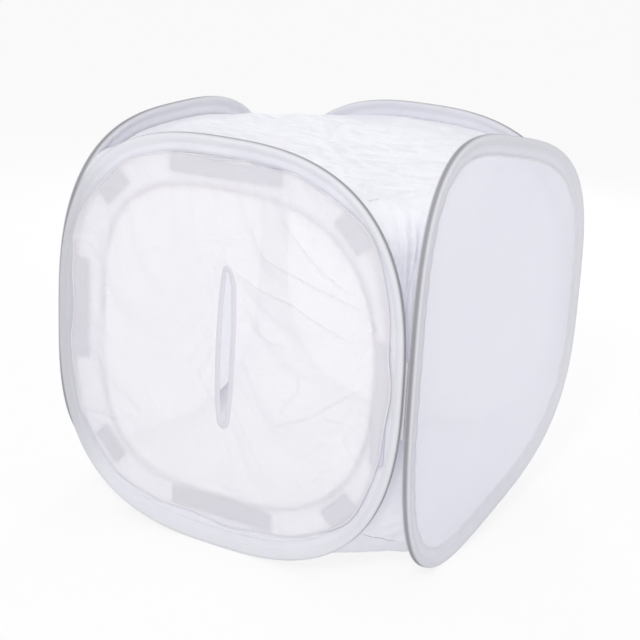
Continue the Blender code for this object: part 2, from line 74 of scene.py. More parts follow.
HINGE = MID - HEM_HALF
HALF_WIDTH = HINGE - 0.0005
SEAM_IN = 0.030
SEAM_CLEAR = 0.0007
BODY_EDGE = MID - SEAM_CLEAR
LEG_OUT = 0.0007
LEG_END = 0.0288
CORNER_SHARE = 0.75
ROOF_MIDDLE = 0.550
ROOF_TOPS = (0.564, 0.546, 0.562, 0.545, 0.560, 0.548, 0.578, 0.560)
SHOULDER = 0.86
ARCH_POWER = 0.35
ARCH_FADE = 0.70
CORNER_OUT = 0.008
FLOOR_FLAT = 0.74
FLOOR_UP = 0.0009
GUSSET_PULL = 0.10
Panel = namedtuple("Panel", "turn height roundness taper")
PANELS = {
    "front": Panel(0, 0.610, 2.70, 0.0),
    "right": Panel(1, 0.592, 3.30, -0.20),
    "back": Panel(2, 0.585, 2.65, 0.0),
    "left": Panel(3, 0.585, 2.90, -0.02),
}
OPENING_CENTRE = np.array((0.020, 0.309))
OPENING_HALF = np.array((0.228, 0.226))
OPENING_ROUNDNESS = 3.2
OPENING_RIGHT_ROUNDNESS = 2.5
OPENING_TAPE = 0.008
COVER_CENTRE = np.array((0.002, 0.312))
COVER_HALF = np.array((0.273, 0.274))
COVER_ROUNDNESS = 2.9
COVER_OUT = 0.0038
COVER_BEND = 0.551
COVER_HEM = 0.0030
COVER_HEM_THICK = 0.0004
SLIT_CENTRE = np.array((0.0125, 0.311))
SLIT_HALF = np.array((0.0085, 0.1150))
SLIT_BORDER = 0.0080
SLIT_TAPE_THICK = 0.0006
Patch = namedtuple("Patch", "x z width height slant")
PATCHES = {
    "top": Patch(0.000, 0.5640, 0.188, 0.0250, 1.2),
    "bottom": Patch(0.010, 0.062, 0.175, 0.028, 0),
    "left": Patch(-0.252, 0.318, 0.032, 0.155, 0),
    "right": Patch(0.2605, 0.282, 0.021, 0.175, 0),
    "upper_left": Patch(-0.193, 0.5125, 0.056, 0.030, 45),
    "upper_right": Patch(0.2045, 0.5105, 0.056, 0.030, -45),
    "lower_left": Patch(-0.193, 0.1135, 0.056, 0.030, -45),
    "lower_right": Patch(0.207, 0.1135, 0.056, 0.030, 45),
}
PATCH_THICK = 0.0009
PATCH_CORNER = 0.003
LOOP_OUT = 0.00125
HOOK_OUT = 0.00255
BACKDROP_STRIP = Patch(0.120, 0.500, 0.060, 0.020, 0)
TAPE_HEIGHT = 0.110
TAPE_LEAF = 0.009
TAPE_NEAR = 0.0003
TAPE_THICK = 0.0006

# The photograph's camera
TARGET = Vector((-0.0067, -0.0125, 0.2764))
AZIMUTH = 0.5256
ELEVATION = 0.306
ROLL = 0.051
DISTANCE = 2.4214
FOCAL_PIXELS = 1528.4
FRAME_PIXELS = 640
SENSOR = 36

# Folds: their path over the panel or the roof, then height and half width
Fold = namedtuple("Fold", "path rise spread")
BROAD_FOLDS = (
    Fold(((0.087, 0.522), (0.173, 0.447), (0.235, 0.414)), 0.0050, 0.016),
    Fold(((0.046, 0.494), (0.076, 0.453), (0.139, 0.430), (0.225, 0.400)), 0.0070, 0.018),
    Fold(((0.016, 0.429), (0.071, 0.409), (0.124, 0.394), (0.205, 0.359)), 0.0060, 0.016),
    Fold(((0.059, 0.350), (0.125, 0.332)), 0.0040, 0.016),
    Fold(((0.108, 0.217), (0.157, 0.243), (0.203, 0.278), (0.240, 0.306)), 0.0050, 0.016),
    Fold(((0.148, 0.132), (0.222, 0.193)), 0.0040, 0.018),
    Fold(((-0.160, 0.240), (-0.090, 0.186)), 0.0030, 0.020),
)
ROOF_CREASES = (
    Fold(((0.160, -0.215), (0.186, -0.231), (0.202, -0.228)), 0.0045, 0.004),
    Fold(((0.143, -0.201), (0.207, -0.257), (0.232, -0.262)), 0.0060, 0.006),
    Fold(((0.232, -0.262), (0.234, -0.244), (0.233, -0.210), (0.250, -0.172)), 0.0060, 0.006),
    Fold(((0.154, -0.173), (0.189, -0.200), (0.200, -0.172)), 0.0045, 0.004),
    Fold(((0.140, -0.255), (0.190, -0.235), (0.226, -0.232)), 0.0035, 0.006),
    Fold(((0.060, -0.250), (0.150, -0.225)), 0.0025, 0.005),
    Fold(((0.200, -0.130), (0.250, -0.060)), 0.0025, 0.006),
    Fold(((0.100, -0.150), (0.180, -0.110), (0.240, -0.120)), 0.0022, 0.006),
)
CREASES = (
    Fold(((0.087, 0.522), (0.130, 0.482), (0.173, 0.447), (0.235, 0.414)), 0.0022, 0.0045),
    Fold(((0.046, 0.494), (0.060, 0.470), (0.076, 0.453), (0.139, 0.435), (0.240, 0.402)), 0.0030, 0.0045),
    Fold(((0.016, 0.431), (0.071, 0.409), (0.124, 0.398), (0.165, 0.380), (0.209, 0.357)), 0.0032, 0.0045),
    Fold(((0.059, 0.350), (0.085, 0.338), (0.117, 0.334)), 0.0020, 0.0040),
    Fold(((0.095, 0.212), (0.157, 0.243), (0.203, 0.278), (0.245, 0.309)), 0.0024, 0.0035),
    Fold(((0.148, 0.132), (0.185, 0.168), (0.222, 0.193)), 0.0024, 0.0040),
    Fold(((0.136, 0.307), (0.134, 0.274), (0.108, 0.230)), 0.0014, 0.0035),
    Fold(((-0.147, 0.235), (-0.120, 0.215), (-0.099, 0.190)), 0.0010, 0.0035),
    Fold(((-0.035, 0.272), (0.000, 0.221)), 0.0010, 0.0030),
    Fold(((-0.170, 0.400), (-0.110, 0.440), (-0.050, 0.470)), 0.0008, 0.0060),
    Fold(((0.104, 0.580), (0.106, 0.550), (0.112, 0.524)), 0.0026, 0.0030),
    Fold(((0.170, 0.250), (0.230, 0.240)), 0.0012, 0.0035),
    Fold(((0.060, 0.150), (0.120, 0.160), (0.180, 0.205)), 0.0010, 0.0050),
    Fold(((-0.100, 0.130), (-0.020, 0.120)), 0.0008, 0.0050),
)
BROAD_RISE = 1.5
CREASE_RISE = 2.3

# Relief of the nylon, in layers of noise: height, scale and seed
PANEL_WAVES = ((0.0022, 5.5, 3.1), (0.0008, 17.0, 8.2))
FLANGE_WAVES = ((0.0005, 30.0, 1.0),)
ROOF_WAVES = ((0.0016, (9, 34, 22), 5.0), (0.0006, (30, 85, 60), 9.0))
ROOF_RIDGES = ((0.0014, (10, 24, 20), 2.0), (0.0007, (22, 48, 40), 12.0))
COVER_WAVES = ((0.0005, (26, 26, 34), 4.0), (0.00022, (70, 70, 85), 7.0))
COVER_RIDGES = ((0.0006, (19, 19, 27), 12.0),)
RIDGE_CRISP = 5
PUCKERS = 46
PUCKER_RISE = 0.0007
HEM_RIPPLES = 60
HEM_RIPPLE = 0.08

# Half of the hem's section from the middle of its edge: out, depth, and how much of the dark
# steel strip shows through there
HEM_SECTION = (
    (0.0, 0.0, 1.0), (0.0018, 0.0001, 1.0), (0.0034, 0.0003, 0.5), (0.0048, 0.0011, 0.1),
    (HEM_HALF, 0.0032, 0), (0.0057, 0.0060, 0), (0.0044, 0.0092, 0), (0.0028, 0.0119, 0),
    (0.0016, 0.0140, 0), (0.0009, 0.0165, 0), (LEG_OUT, 0.0215, 0), (LEG_OUT, LEG_END, 0),
    (0.0003, LEG_END + 0.0002, 0),
)
# A patch from its back to its face: inset, and level in half thicknesses
PATCH_LAYERS = ((0.0, -1), (0.0, 0.2), (0.0006, 0.7), (0.0030, 0.55), (0.0042, 1.0), (0.0080, 1.0))
# A folded tape from the cloth's edge inwards: share of its width, and lift in thicknesses
TAPE_LAYERS = ((-0.05, 0.2), (0.05, 0.9), (0.5, 1.1), (0.92, 1.0), (1.0, 0.3))
RING_DEPTHS = (0.009, 0.012, 0.015, 0.018, 0.022, 0.026, 0.029, 0.031, 0.034, 0.039, 0.047, 0.058)

# Shades that light inside the tent gives the cloth
# HEM_SHADE is painted shade on the front hem's left side; GREY_BELOW and GREY_SHARE paint shade on the
# body's upright cloth
HEM_SHADE = 0.35
GREY_BELOW = 0.545
GREY_SHARE = 0.8

# Fineness
FINE = 1920
STATIONS = 240
PANEL_RINGS = 16
ROOF_EDGE = 48
CHORD = 14
GUSSET_ROWS = 56
ROOF_STEP = 0.0095
FLOOR_STEP = 0.017
DIAGONAL = 0.27
DIAGONAL_SHARE = 0.97
GRID_SHARE = 0.985
GRID_GAP = 0.6
COVER_STEP = 0.0078
COVER_GRID = ((-0.29, 0.02), (0.29, 0.60))
COVER_GAP = 0.0045
BEND_HALF = 0.22
RIM_POINTS = 260
SLIT_POINTS = 90
BORDER_POINTS = 96
BEND_POINTS = 60
GRID_DISORDER = 0.18
REFINE_LEVELS = 2
SOFTEN_ROUNDS = 150
TAPE_ROWS = 20
CORNER_POINTS = 4
STITCHES = 560
STITCH = 0.0024
STITCH_PITCH = 0.0034
THREAD = 0.0006
WEAVE_PITCH = 0.0006

# Cloth simulation
SIM_FRAMES = 26
CLOTH_SETTINGS = {
    "quality": 6,
    "mass": 0.12,
    "tension_stiffness": 12,
    "compression_stiffness": 12,
    "shear_stiffness": 6,
    "bending_stiffness": 0.06,
    "tension_damping": 8,
    "compression_damping": 8,
    "shear_damping": 8,
    "bending_damping": 0.6,
    "air_damping": 2,
    "vertex_group_mass": "pinned",
    "pin_stiffness": 1,
}
BODY_SLACK = 0.012
BODY_GRAVITY = 0.3
BODY_PIN = 0.2
COVER_SLACK = 0.011
COVER_GRAVITY = 0.5
SOFT_PIN = 0.06
SLIT_PIN = 0.8

# Pieces of the body, by part number: 0 to 3 roof, 4 to 7 floor, then two halves a gusset
GUSSETS = (("front", "right"), ("right", "back"), ("back", "left"), ("left", "front"))
BODY_PARTS = {
    **{f"{level}_{name}": [first + k] for k, name in enumerate(PANELS)
       for level, first in (("roof", 0), ("floor", 4))},
    "gusset_cloth_front_right": [8, 9],
    "gusset_cloth_right_back": [10, 11],
    "gusset_cloth_back": [12],
    "gusset_cloth_left": [13],
    "gusset_cloth_left_front": [14, 15],
}

# Corners: their side of the tent, the two panels, and whether the way from the first panel to
# the second runs to the right (1) or to the left (-1)
Corner = namedtuple("Corner", "x y first second way")
CORNERS = {
    "front_right": Corner(1, -1, "front", "right", 1),
    "front_left": Corner(-1, -1, "front", "left", -1),
    "back_right": Corner(1, 1, "right", "back", -1),
}
CORNER_GUSSETS = {
    "front_right": "gusset_cloth_front_right",
    "back_right": "gusset_cloth_right_back",
    "front_left": "gusset_cloth_left_front",
}

# The table top: half its width, and how much it glows where the camera sees it
STAGE_HALF = 25
FLOOR_GLOW = 0.8


# Lines and noise

def inward(points):
    """The inward normal at each point of a closed anticlockwise outline."""
    along = np.roll(points, -1, 0) - np.roll(points, 1, 0)
    along /= np.linalg.norm(along, axis=1)[:, None]
    return np.stack([-along[:, 1], along[:, 0]], 1)


def evenly(points, count, closed=False):
    """Points at equal steps along a line, its ends included if it is open."""
    if closed:
        points = np.vstack([points, points[:1]])
    length = np.r_[0, np.cumsum(np.linalg.norm(np.diff(points, axis=0), axis=1))]
    wanted = np.linspace(0, length[-1], count, endpoint=not closed)
    return np.stack([np.interp(wanted, length, points[:, i]) for i in range(points.shape[1])], 1)


def smooth_step(x):
    x = np.clip(x, 0, 1)
    return x * x * (3 - 2 * x)


def superellipse(centre, half, roundness):
    """A rounded outline, anticlockwise from the middle of its foot."""
    angle = 2 * math.pi * np.arange(FINE) / FINE - math.pi / 2
    c, s = np.cos(angle), np.sin(angle)
    across = np.sign(c) * np.abs(c) ** (2 / roundness) * half[0]
    up = np.sign(s) * np.abs(s) ** (2 / roundness) * half[1]
    return centre + np.stack([across, up], 1)


def hoop_outline(panel):
    """The outer edge of a panel's hem."""
    line = superellipse((0, 0), (HALF_WIDTH, panel.height / 2), panel.roundness)
    line[:, 1] *= 1 + panel.taper * line[:, 0] / HALF_WIDTH
    line[:, 1] -= line[:, 1].min()
    return line


def hoop_path(panel):
    """Even stations round the outer edge of a panel's hem, and the inward normal at each."""
    path = evenly(hoop_outline(panel), STATIONS, True)
    return path, inward(path)


def on_panel(panel, points, out=0.0):
    """Points of the tent's frame, from a panel's own across and up."""
    points = np.asarray(points, float)
    c, s = ((1, 0), (0, 1), (-1, 0), (0, -1))[panel.turn]
    y = -(MID + np.zeros(len(points)) + out)
    return np.stack([c * points[:, 0] - s * y, s * points[:, 0] + c * y, points[:, 1]], 1)


def panel_normals(panel, points):
    """The direction out of a panel, for each of its points."""
    return on_panel(panel, points, 1.0) - on_panel(panel, points, 0.0)


def noise_at(points, scale, seed):
    """Smooth noise of about -1 to 1 at each 3-D point; scale is one number or three."""
    scaled = np.asarray(points) * scale + seed
    return np.array([noise.noise(Vector(p)) for p in scaled])


def waves(points, layers):
    """Layers of smooth noise."""
    return sum(height * noise_at(points, scale, seed) for height, scale, seed in layers)


def ridges(points, layers):
    """Layers of crisp ridges, which run where the noise changes its sign."""
    out = 0
    for height, scale, seed in layers:
        out = out + height * np.clip(1 - np.abs(noise_at(points, scale, seed)) * RIDGE_CRISP, 0, 1)
    return out


# Meshes

def set_attribute(mesh, key, values, kind="FLOAT", domain="POINT"):
    layer = mesh.attributes.new(key, kind, domain)
    values = np.asarray(values, np.float32 if kind == "FLOAT" else np.int32)
    layer.data.foreach_set("value", values.ravel())


def new_object(name, verts, faces, material, smooth=True, attributes=None):
    mesh = bpy.data.meshes.new(name)
    mesh.from_pydata([tuple(v) for v in verts], [], [tuple(int(i) for i in f) for f in faces])
    mesh.validate()
    for key, values in (attributes or {}).items():
        set_attribute(mesh, key, values)
    if smooth:
        mesh.shade_smooth()
    mesh.materials.append(material)
    piece = bpy.data.objects.new(name, mesh)
    bpy.context.scene.collection.objects.link(piece)
    return piece


def set_points(piece, points):
    piece.data.vertices.foreach_set("co", points.astype(np.float32).ravel())
    piece.data.update()


def solid(name, verts, faces, material, smooth=True, attributes=None):
    """A closed piece, its faces turned outwards."""
    piece = new_object(name, verts, faces, material, smooth, attributes)
    shape = bmesh.new()
    shape.from_mesh(piece.data)
    bmesh.ops.recalc_face_normals(shape, faces=shape.faces)
    shape.to_mesh(piece.data)
    shape.free()
    return piece


def ring_faces(rings, around, closed=False):
    """Quads between rings of equally many points; the last joins the first if closed."""
    faces = []
    for k in range(rings if closed else rings - 1):
        low, high = k * around, (k + 1) % rings * around
        for i in range(around):
            j = (i + 1) % around
            faces.append((low + i, low + j, high + j, high + i))
    return faces


def loop_solid(name, sections, material, attributes=None):
    """A closed band: sections[i] is the i-th closed section, and the last joins the first."""
    sections = np.asarray(sections)
    faces = ring_faces(*sections.shape[:2], True)
    return solid(name, sections.reshape(-1, 3), faces, material, attributes=attributes)


def capped_solid(name, rings, material):
    """A flat-shaded solid through rings of points, closed at both ends."""
    around = len(rings[0])
    last = (len(rings) - 1) * around
    faces = ring_faces(len(rings), around)
    faces += [tuple(reversed(range(around))), tuple(range(last, last + around))]
    return solid(name, np.vstack(rings), faces, material, False)


def inside(points, ring):
    """Which points lie inside a closed ring, by the crossings of a ray."""
    crossings = np.zeros(len(points), int)
    for (ax, ay), (bx, by) in zip(ring, np.roll(ring, -1, 0)):
        if by != ay:
            span = (ay > points[:, 1]) != (by > points[:, 1])
            x = ax + (points[:, 1] - ay) * (bx - ax) / (by - ay)
            crossings += span & (points[:, 0] < x)
    return crossings % 2 == 1


def triangulate(border, holes, inner, lines):
    """A flat mesh of triangles: returns its points, triangles and where the inputs went."""
    coords, edges = [], []
    for line, closed in [(ring, 1) for ring in (border, *holes)] + [(line, 0) for line in lines]:
        first, count = len(coords), len(line)
        coords += [Vector(p) for p in line]
        edges += [(first + i, first + (i + 1) % count) for i in range(count - 1 + closed)]
    coords += [Vector(p) for p in inner]
    verts, _, faces, origins, _, _ = delaunay_2d_cdt(coords, edges, [], 0, 1e-7)
    points = np.array([tuple(v) for v in verts])
    where = {source: i for i, sources in enumerate(origins) for source in sources}
    faces = np.array([f for f in faces if len(f) == 3])
    middle = points[faces].mean(1)
    keep = inside(middle, border)
    for hole in holes:
        keep &= ~inside(middle, hole)
    return points, faces[keep], where


def triangle_grid(low, high, step):
    """Points of an even grid of triangles, with a little steady disorder."""
    random = np.random.default_rng(7)
    points = []
    row = 0
    y = low[1]
    while y < high[1]:
        x = np.arange(low[0] + (row % 2) * step / 2, high[0], step)
        points.append(np.stack([x, np.full(len(x), y)], 1))
        y += step * math.sqrt(3) / 2
        row += 1
    points = np.vstack(points)
    return points + random.uniform(-GRID_DISORDER, GRID_DISORDER, points.shape) * step


def away_from(points, line, gap):
    """The points that are further than gap from every point of the line."""
    return np.array([p for p in points if ((line - p) ** 2).sum(1).min() > gap * gap])


def simulate(piece, pinned, slack, gravity):
    """Where cloth hangs that is held at its pinned points and cut too large by slack."""
    group = piece.vertex_groups.new(name="pinned")
    pinned = np.round(pinned, 2)
    for weight in np.unique(pinned[pinned > 0]):
        group.add(np.flatnonzero(pinned == weight).tolist(), float(weight), "REPLACE")
    cloth = piece.modifiers.new("cloth", "CLOTH")
    for key, value in CLOTH_SETTINGS.items():
        setattr(cloth.settings, key, value)
    cloth.settings.shrink_min = -slack
    cloth.settings.shrink_max = -slack
    cloth.settings.effector_weights.gravity = gravity
    cloth.point_cache.frame_start = 1
    cloth.point_cache.frame_end = SIM_FRAMES
    scene = bpy.context.scene
    for frame_number in range(1, SIM_FRAMES + 1):
        scene.frame_set(frame_number)
    evaluated = piece.evaluated_get(bpy.context.evaluated_depsgraph_get())
    co = np.zeros(len(piece.data.vertices) * 3, np.float32)
    evaluated.data.vertices.foreach_get("co", co)
    piece.modifiers.remove(cloth)
    scene.frame_set(1)
    return co.reshape(-1, 3).astype(float)


def refined(piece):
    """The piece's mesh after subdivision, as points, faces and the face attribute 'part'."""
    smoother = piece.modifiers.new("finer", "SUBSURF")
    smoother.levels = smoother.render_levels = REFINE_LEVELS
    evaluated = piece.evaluated_get(bpy.context.evaluated_depsgraph_get())
    mesh = evaluated.to_mesh()
    points = np.array([v.co for v in mesh.vertices])
    faces = [tuple(p.vertices) for p in mesh.polygons]
    part = np.zeros(len(faces), np.int32)
    if "part" in mesh.attributes:
        mesh.attributes["part"].data.foreach_get("value", part)
    evaluated.to_mesh_clear()
    bpy.data.objects.remove(piece)
    return points, faces, part


def vertex_normals(points, faces):
    normals = np.zeros_like(points)
    quads = np.array(faces)
    cross = np.cross(points[quads[:, 2]] - points[quads[:, 0]], points[quads[:, 3]] - points[quads[:, 1]])
    for k in range(4):
        np.add.at(normals, quads[:, k], cross)
    return normals / np.maximum(np.linalg.norm(normals, axis=1), 1e-12)[:, None]


def cut_piece(name, points, faces, normals, chosen, material):
    """A piece of a larger mesh, shaded as if it were still joined to the rest. Its cloth is
    greyer where it hangs upright, as it gets less light than the roof."""
    picked = [faces[i] for i in np.flatnonzero(chosen)]
    used = np.unique(np.array(picked))
    renumber = {int(v): i for i, v in enumerate(used)}
    local = [tuple(renumber[v] for v in f) for f in picked]
    height = points[used][:, 2]
    grey = smooth_step((GREY_BELOW - height) / 0.07) * smooth_step((height - 0.06) / 0.24)
    piece = new_object(name, points[used], local, material, True, {"band": GREY_SHARE * grey})
    piece.data.normals_split_custom_set_from_vertices(normals[used].tolist())
    return piece


# Materials

def shader_tree(name):
    made = bpy.data.materials.new(name)
    made.use_nodes = True
    tree = made.node_tree
    return made, tree, tree.nodes["Principled BSDF"], tree.nodes["Material Output"]


def plug(tree, value, socket):
    """Joins a socket to another, or sets it to a plain value."""
    if isinstance(value, bpy.types.NodeSocket):
        tree.links.new(value, socket)
    else:
        socket.default_value = value


def fill(tree, node, **values):
    """Sets a node's attributes and inputs by name; _ stands for a space."""
    for key, value in values.items():
        if hasattr(node, key):
            setattr(node, key, value)
        else:
            plug(tree, value, node.inputs[key.replace("_", " ")])


def add(tree, kind, feeds=(), **values):
    """A new shader node. The feeds go to its inputs in their order."""
    node = tree.nodes.new("ShaderNode" + kind)
    fill(tree, node, **values)
    for value, socket in zip(feeds, node.inputs):
        plug(tree, value, socket)
    return node


def noise_texture(tree, scale, stretch=(1, 1, 1), detail=3.0, rough=0.5, distort=0.0):
    place = add(tree, "TexCoord").outputs["Object"]
    mapping = add(tree, "Mapping", Vector=place, Scale=stretch).outputs["Vector"]
    texture = add(tree, "TexNoise", Vector=mapping, Scale=scale, Detail=detail)
    fill(tree, texture, Roughness=rough, Distortion=distort)
    return texture.outputs["Fac"]


def colour_mix(tree, start, end, share):
    return add(tree, "Mix", data_type="RGBA", A=start, B=(*end, 1), Factor=share).outputs["Result"]


def bump(tree, height, distance, strength, **before):
    return add(tree, "Bump", Height=height, Distance=distance, Strength=strength, **before).outputs["Normal"]


def weave(tree, pitch):
    """A plain weave: threads that cross, seen as a set of fine waves along each axis."""
    place = add(tree, "TexCoord").outputs["Object"]
    total = None
    for direction in "XYZ":
        wave = add(tree, "TexWave", wave_type="BANDS", bands_direction=direction, Vector=place)
        fill(tree, wave, Scale=1 / (pitch * 20), Distortion=0.6)
        threads = wave.outputs["Fac"]
        total = add(tree, "Math", (total, threads), operation="ADD").outputs[0] if total else threads
    return total


def cloth_material(name, colour, shade, glow, see, crumple, stretch=(1, 1, 1), fine=70.0, rim=None):
    """Thin nylon. Its colour wanders at random towards the colour shade, and goes there as painted shade
    where the mesh attribute 'band' says that less light reaches it. Where 'rim' says so it takes the
    colour rim: the dark steel strip seen through a hem, and painted shade where less light reaches the
    cloth. glow and see are the shares of light that it scatters and lets through."""
    made, tree, shader, output = shader_tree(name)
    mottle = noise_texture(tree, 5.0, detail=4)
    ramp = add(tree, "MapRange", Value=mottle, From_Min=0.35, From_Max=0.75, To_Max=0.5)
    band = add(tree, "Attribute", attribute_name="band").outputs["Fac"]
    share = add(tree, "Math", (ramp.outputs["Result"], band), operation="ADD", use_clamp=True)
    tint = colour_mix(tree, (*colour, 1), shade, share.outputs[0])
    if rim:
        tint = colour_mix(tree, tint, rim, add(tree, "Attribute", attribute_name="rim").outputs["Fac"])
    normal = bump(tree, noise_texture(tree, fine, stretch, 5, 0.62, 0.4), 0.004, crumple)
    normal = bump(tree, weave(tree, WEAVE_PITCH), 0.0001, 0.25, Normal=normal)
    fill(tree, shader, Base_Color=tint, Normal=normal, Roughness=0.62, Specular_IOR_Level=0.25)
    fill(tree, shader, Sheen_Weight=0.25, Sheen_Roughness=0.4)
    through = add(tree, "BsdfTranslucent", Color=tint)
    lit = add(tree, "MixShader", (glow, shader.outputs[0], through.outputs[0]))
    clear = add(tree, "BsdfTransparent")
    final = add(tree, "MixShader", (see, lit.outputs[0], clear.outputs[0]))
    fill(tree, output, Surface=final.outputs[0])
    return made


def plain_material(name, colour, shade, roughness, metallic=0.0, grain=400.0, relief=0.0002):
    made, tree, shader, _ = shader_tree(name)
    spots = noise_texture(tree, grain, detail=2)
    fill(tree, shader, Base_Color=colour_mix(tree, (*colour, 1), shade, spots))
    fill(tree, shader, Normal=bump(tree, spots, relief, 0.6), Roughness=roughness, Metallic=metallic)
    return made


# Hoops: hems, panels and stitches

def make_hem(name, panel, material):
    """The folded binding round a hoop: a tube for the steel, then legs on both faces of the
    panel as far as the seam, puckered a little by their stitching."""
    path, normal = hoop_path(panel)
    outer = [*HEM_SECTION, *[(-out, depth, dark) for out, depth, dark in HEM_SECTION[:0:-1]]]
    station = np.arange(STATIONS)
    ripple = HEM_RIPPLE * np.sin(station * 2 * math.pi * HEM_RIPPLES / STATIONS + panel.turn)
    rows = []
    for out, depth, _ in outer:
        far = min(1.0, max(0.0, (depth - 0.006) / 0.009))
        line = path + normal * (depth * (1 + 0.01 * far * np.sin(station * 1.7)))[:, None]
        relief = cloth_relief(name, panel, line, np.full(STATIONS, depth))
        relief *= smooth_step((depth - 0.012) / 0.006)
        rows.append(on_panel(panel, line, out * (1 + ripple * far) + relief))
    rim = np.tile([dark for _, _, dark in outer], (STATIONS, 1))
    # rim is the dark steel strip seen through the hem's edge; on the front hoop's left side it is also
    # painted shade, where the hem gets little light
    if name == "front":
        painted_shade_left = HEM_SHADE * smooth_step((-path[:, 0] - 0.20) / 0.09)
        rim = np.maximum(rim, painted_shade_left[:, None])
    facts = {"rim": rim, "band": np.full(rim.shape, 0.1)}
    return loop_solid(name + "_hem", np.stack(rows, 1), material, facts)


def seam_ridge(name, panel, material):
    """The sewn ridge on a panel's outer face, over the seam of the tent's body."""
    path, normal = hoop_path(panel)
    rows = []
    for out, depth in ((-0.0001, -0.0013), (0.0005, -0.0006), (0.0005, 0.0006), (-0.0001, 0.0013)):
        line = path + normal * (SEAM_IN + depth)
        relief = cloth_relief(name, panel, line, np.full(STATIONS, SEAM_IN + depth))
        rows.append(on_panel(panel, line, relief + out))
    return loop_solid(name + "_seam", np.stack(rows, 1), material)


def stitch_boxes(name, rows, material):
    """One object of short threads. A row is (points, up directions)."""
    verts, faces = [], []
    for points, ups in rows:
        along = np.roll(points, -1, 0) - np.roll(points, 1, 0)
        along /= np.linalg.norm(along, axis=1)[:, None]
        side = np.cross(ups, along)
        for p, u, a, s in zip(points, ups, along, side):
            first = len(verts)
            for end in (-1, 1):
                for wide, high in ((-1, 0), (0, 1), (1, 0)):
                    verts.append(p + a * end * STITCH / 2 + s * wide * THREAD / 2 + u * high * THREAD / 2)
            prism = ((0, 1, 4, 3), (1, 2, 5, 4), (2, 0, 3, 5), (0, 2, 1), (3, 4, 5))
            faces += [tuple(first + i for i in face) for face in prism]
    return solid(name, verts, faces, material, False)


def hem_stitches(name, panel, material):
    """Two lines of stitches through the hem's legs, seen on both faces."""
    outline = hoop_outline(panel)
    rows = []
    for depth, out in ((LEG_END - 0.0018, LEG_OUT), (0.0150, 0.0013)):
        path = evenly(outline + inward(outline) * depth, STITCHES, True)
        relief = cloth_relief(name, panel, path, np.full(STITCHES, depth))
        for side in (-1, 1):
            rows.append((on_panel(panel, path, relief + out * side), panel_normals(panel, path) * side))
    return stitch_boxes(name + "_stitches", rows, material)


def panel_relief(panel, points, depth):
    """How far a taut panel stands out: soft waves, and puckers along its edge."""
    fade = smooth_step((depth - 0.016) / 0.03)
    centre = points.mean(0)
    angle = np.arctan2(points[:, 1] - 0.3, points[:, 0] - centre[0])
    pucker = PUCKER_RISE * np.sin(angle * PUCKERS + 3 * np.sin(angle * 5))
    near = smooth_step((depth - 0.012) / 0.008) * (1 - smooth_step((depth - 0.030) / 0.03))
    return fade * waves(on_panel(panel, points), PANEL_WAVES) + near * pucker


def cloth_relief(name, panel, points, depth):
    """How far the cloth on a hoop stands out of the hoop's plane."""
    if name != "front":
        return panel_relief(panel, points, depth)
    return waves(on_panel(panel, points), FLANGE_WAVES) * smooth_step((depth - 0.013) / 0.004)


def under_hem(depth):
    """1 where a panel lies between the hem's legs, 0 inside them."""
    return 1 - smooth_step((depth - LEG_END - 0.0002) / 0.002)


def make_panel(name, panel, material):
    path, normal = hoop_path(panel)
    rings = [path + normal * depth for depth in RING_DEPTHS]
    depths = list(RING_DEPTHS)
    edge = rings[-1]
    centre = edge.mean(0)
    for k in range(1, PANEL_RINGS):
        share = 1 - k / PANEL_RINGS
        rings.append(centre + (edge - centre) * share)
        depths.append(0.06 + 0.2 * (1 - share))
    points, depth = np.vstack([*rings, [centre]]), np.append(np.repeat(depths, STATIONS), 0.26)
    faces = ring_faces(len(rings), STATIONS)
    hub = len(rings) * STATIONS
    last = hub - STATIONS
    faces += [(last + i, last + (i + 1) % STATIONS, hub) for i in range(STATIONS)]
    places = on_panel(panel, points, panel_relief(panel, points, depth))
    # Painted shade: the panel is darker where it lies between the hem's legs, a ring that gets no light from
    # inside the tent
    return new_object(name + "_sheet", places, faces, material, True, {"rim": under_hem(depth)})


def opening_line(path, grown):
    """The edge of the opening, or a line round it, with a point for each of a path's."""
    half = OPENING_HALF + grown
    fine = superellipse(OPENING_CENTRE, half, OPENING_ROUNDNESS)
    right = superellipse(OPENING_CENTRE, half, OPENING_RIGHT_ROUNDNESS)
    fine = np.where(fine[:, :1] < OPENING_CENTRE[0], fine, right)
    away = np.arctan2(*(fine - OPENING_CENTRE).T[::-1])
    order = np.argsort(away)
    asked = np.arctan2(*(path - OPENING_CENTRE).T[::-1])
    places = [np.interp(asked, away[order], fine[order, axis], period=2 * math.pi) for axis in (0, 1)]
    return np.stack(places, 1)


def make_flange(material):
    """The front's ring of cloth, from the hem to the opening."""
    panel = PANELS["front"]
    path, normal = hoop_path(panel)
    rings = [path + normal * depth for depth in (0.009, 0.013, 0.017, 0.021, 0.026)]
    start, edge = rings[-1], opening_line(path, 0.0)
    for share in (0.25, 0.4, 0.55, 0.7, 0.85, 1.0):
        rings.append(start * (1 - share) + edge * share)
    points = np.vstack(rings)
    depth = np.linalg.norm(points - np.tile(path, (len(rings), 1)), axis=1)
    places = on_panel(panel, points, cloth_relief("front", panel, points, depth))
    faces = ring_faces(len(rings), STATIONS)
    # Painted shade: the flange is a little darker where it lies between the hem's legs
    return new_object("flange_sheet", places, faces, material, True, {"rim": 0.5 * under_hem(depth)})


def make_opening_binding(material):
    """The tape folded over the opening's edge."""
    panel = PANELS["front"]
    path, _ = hoop_path(panel)
    inner, outer = opening_line(path, -0.0004), opening_line(path, OPENING_TAPE - 0.0005)
    sections = []
    for a, b in zip(inner, outer):
        line = [(a, 0.0006), (a, -0.0017), (b, -0.0017), (b, -0.0009), (a + (b - a) * 0.1, -0.0008)]
        sections.append([on_panel(panel, [p], out)[0] for p, out in line])
    return loop_solid("opening_tape", sections, material)


# Body of the tent: roof, floor and gussets in one cloth

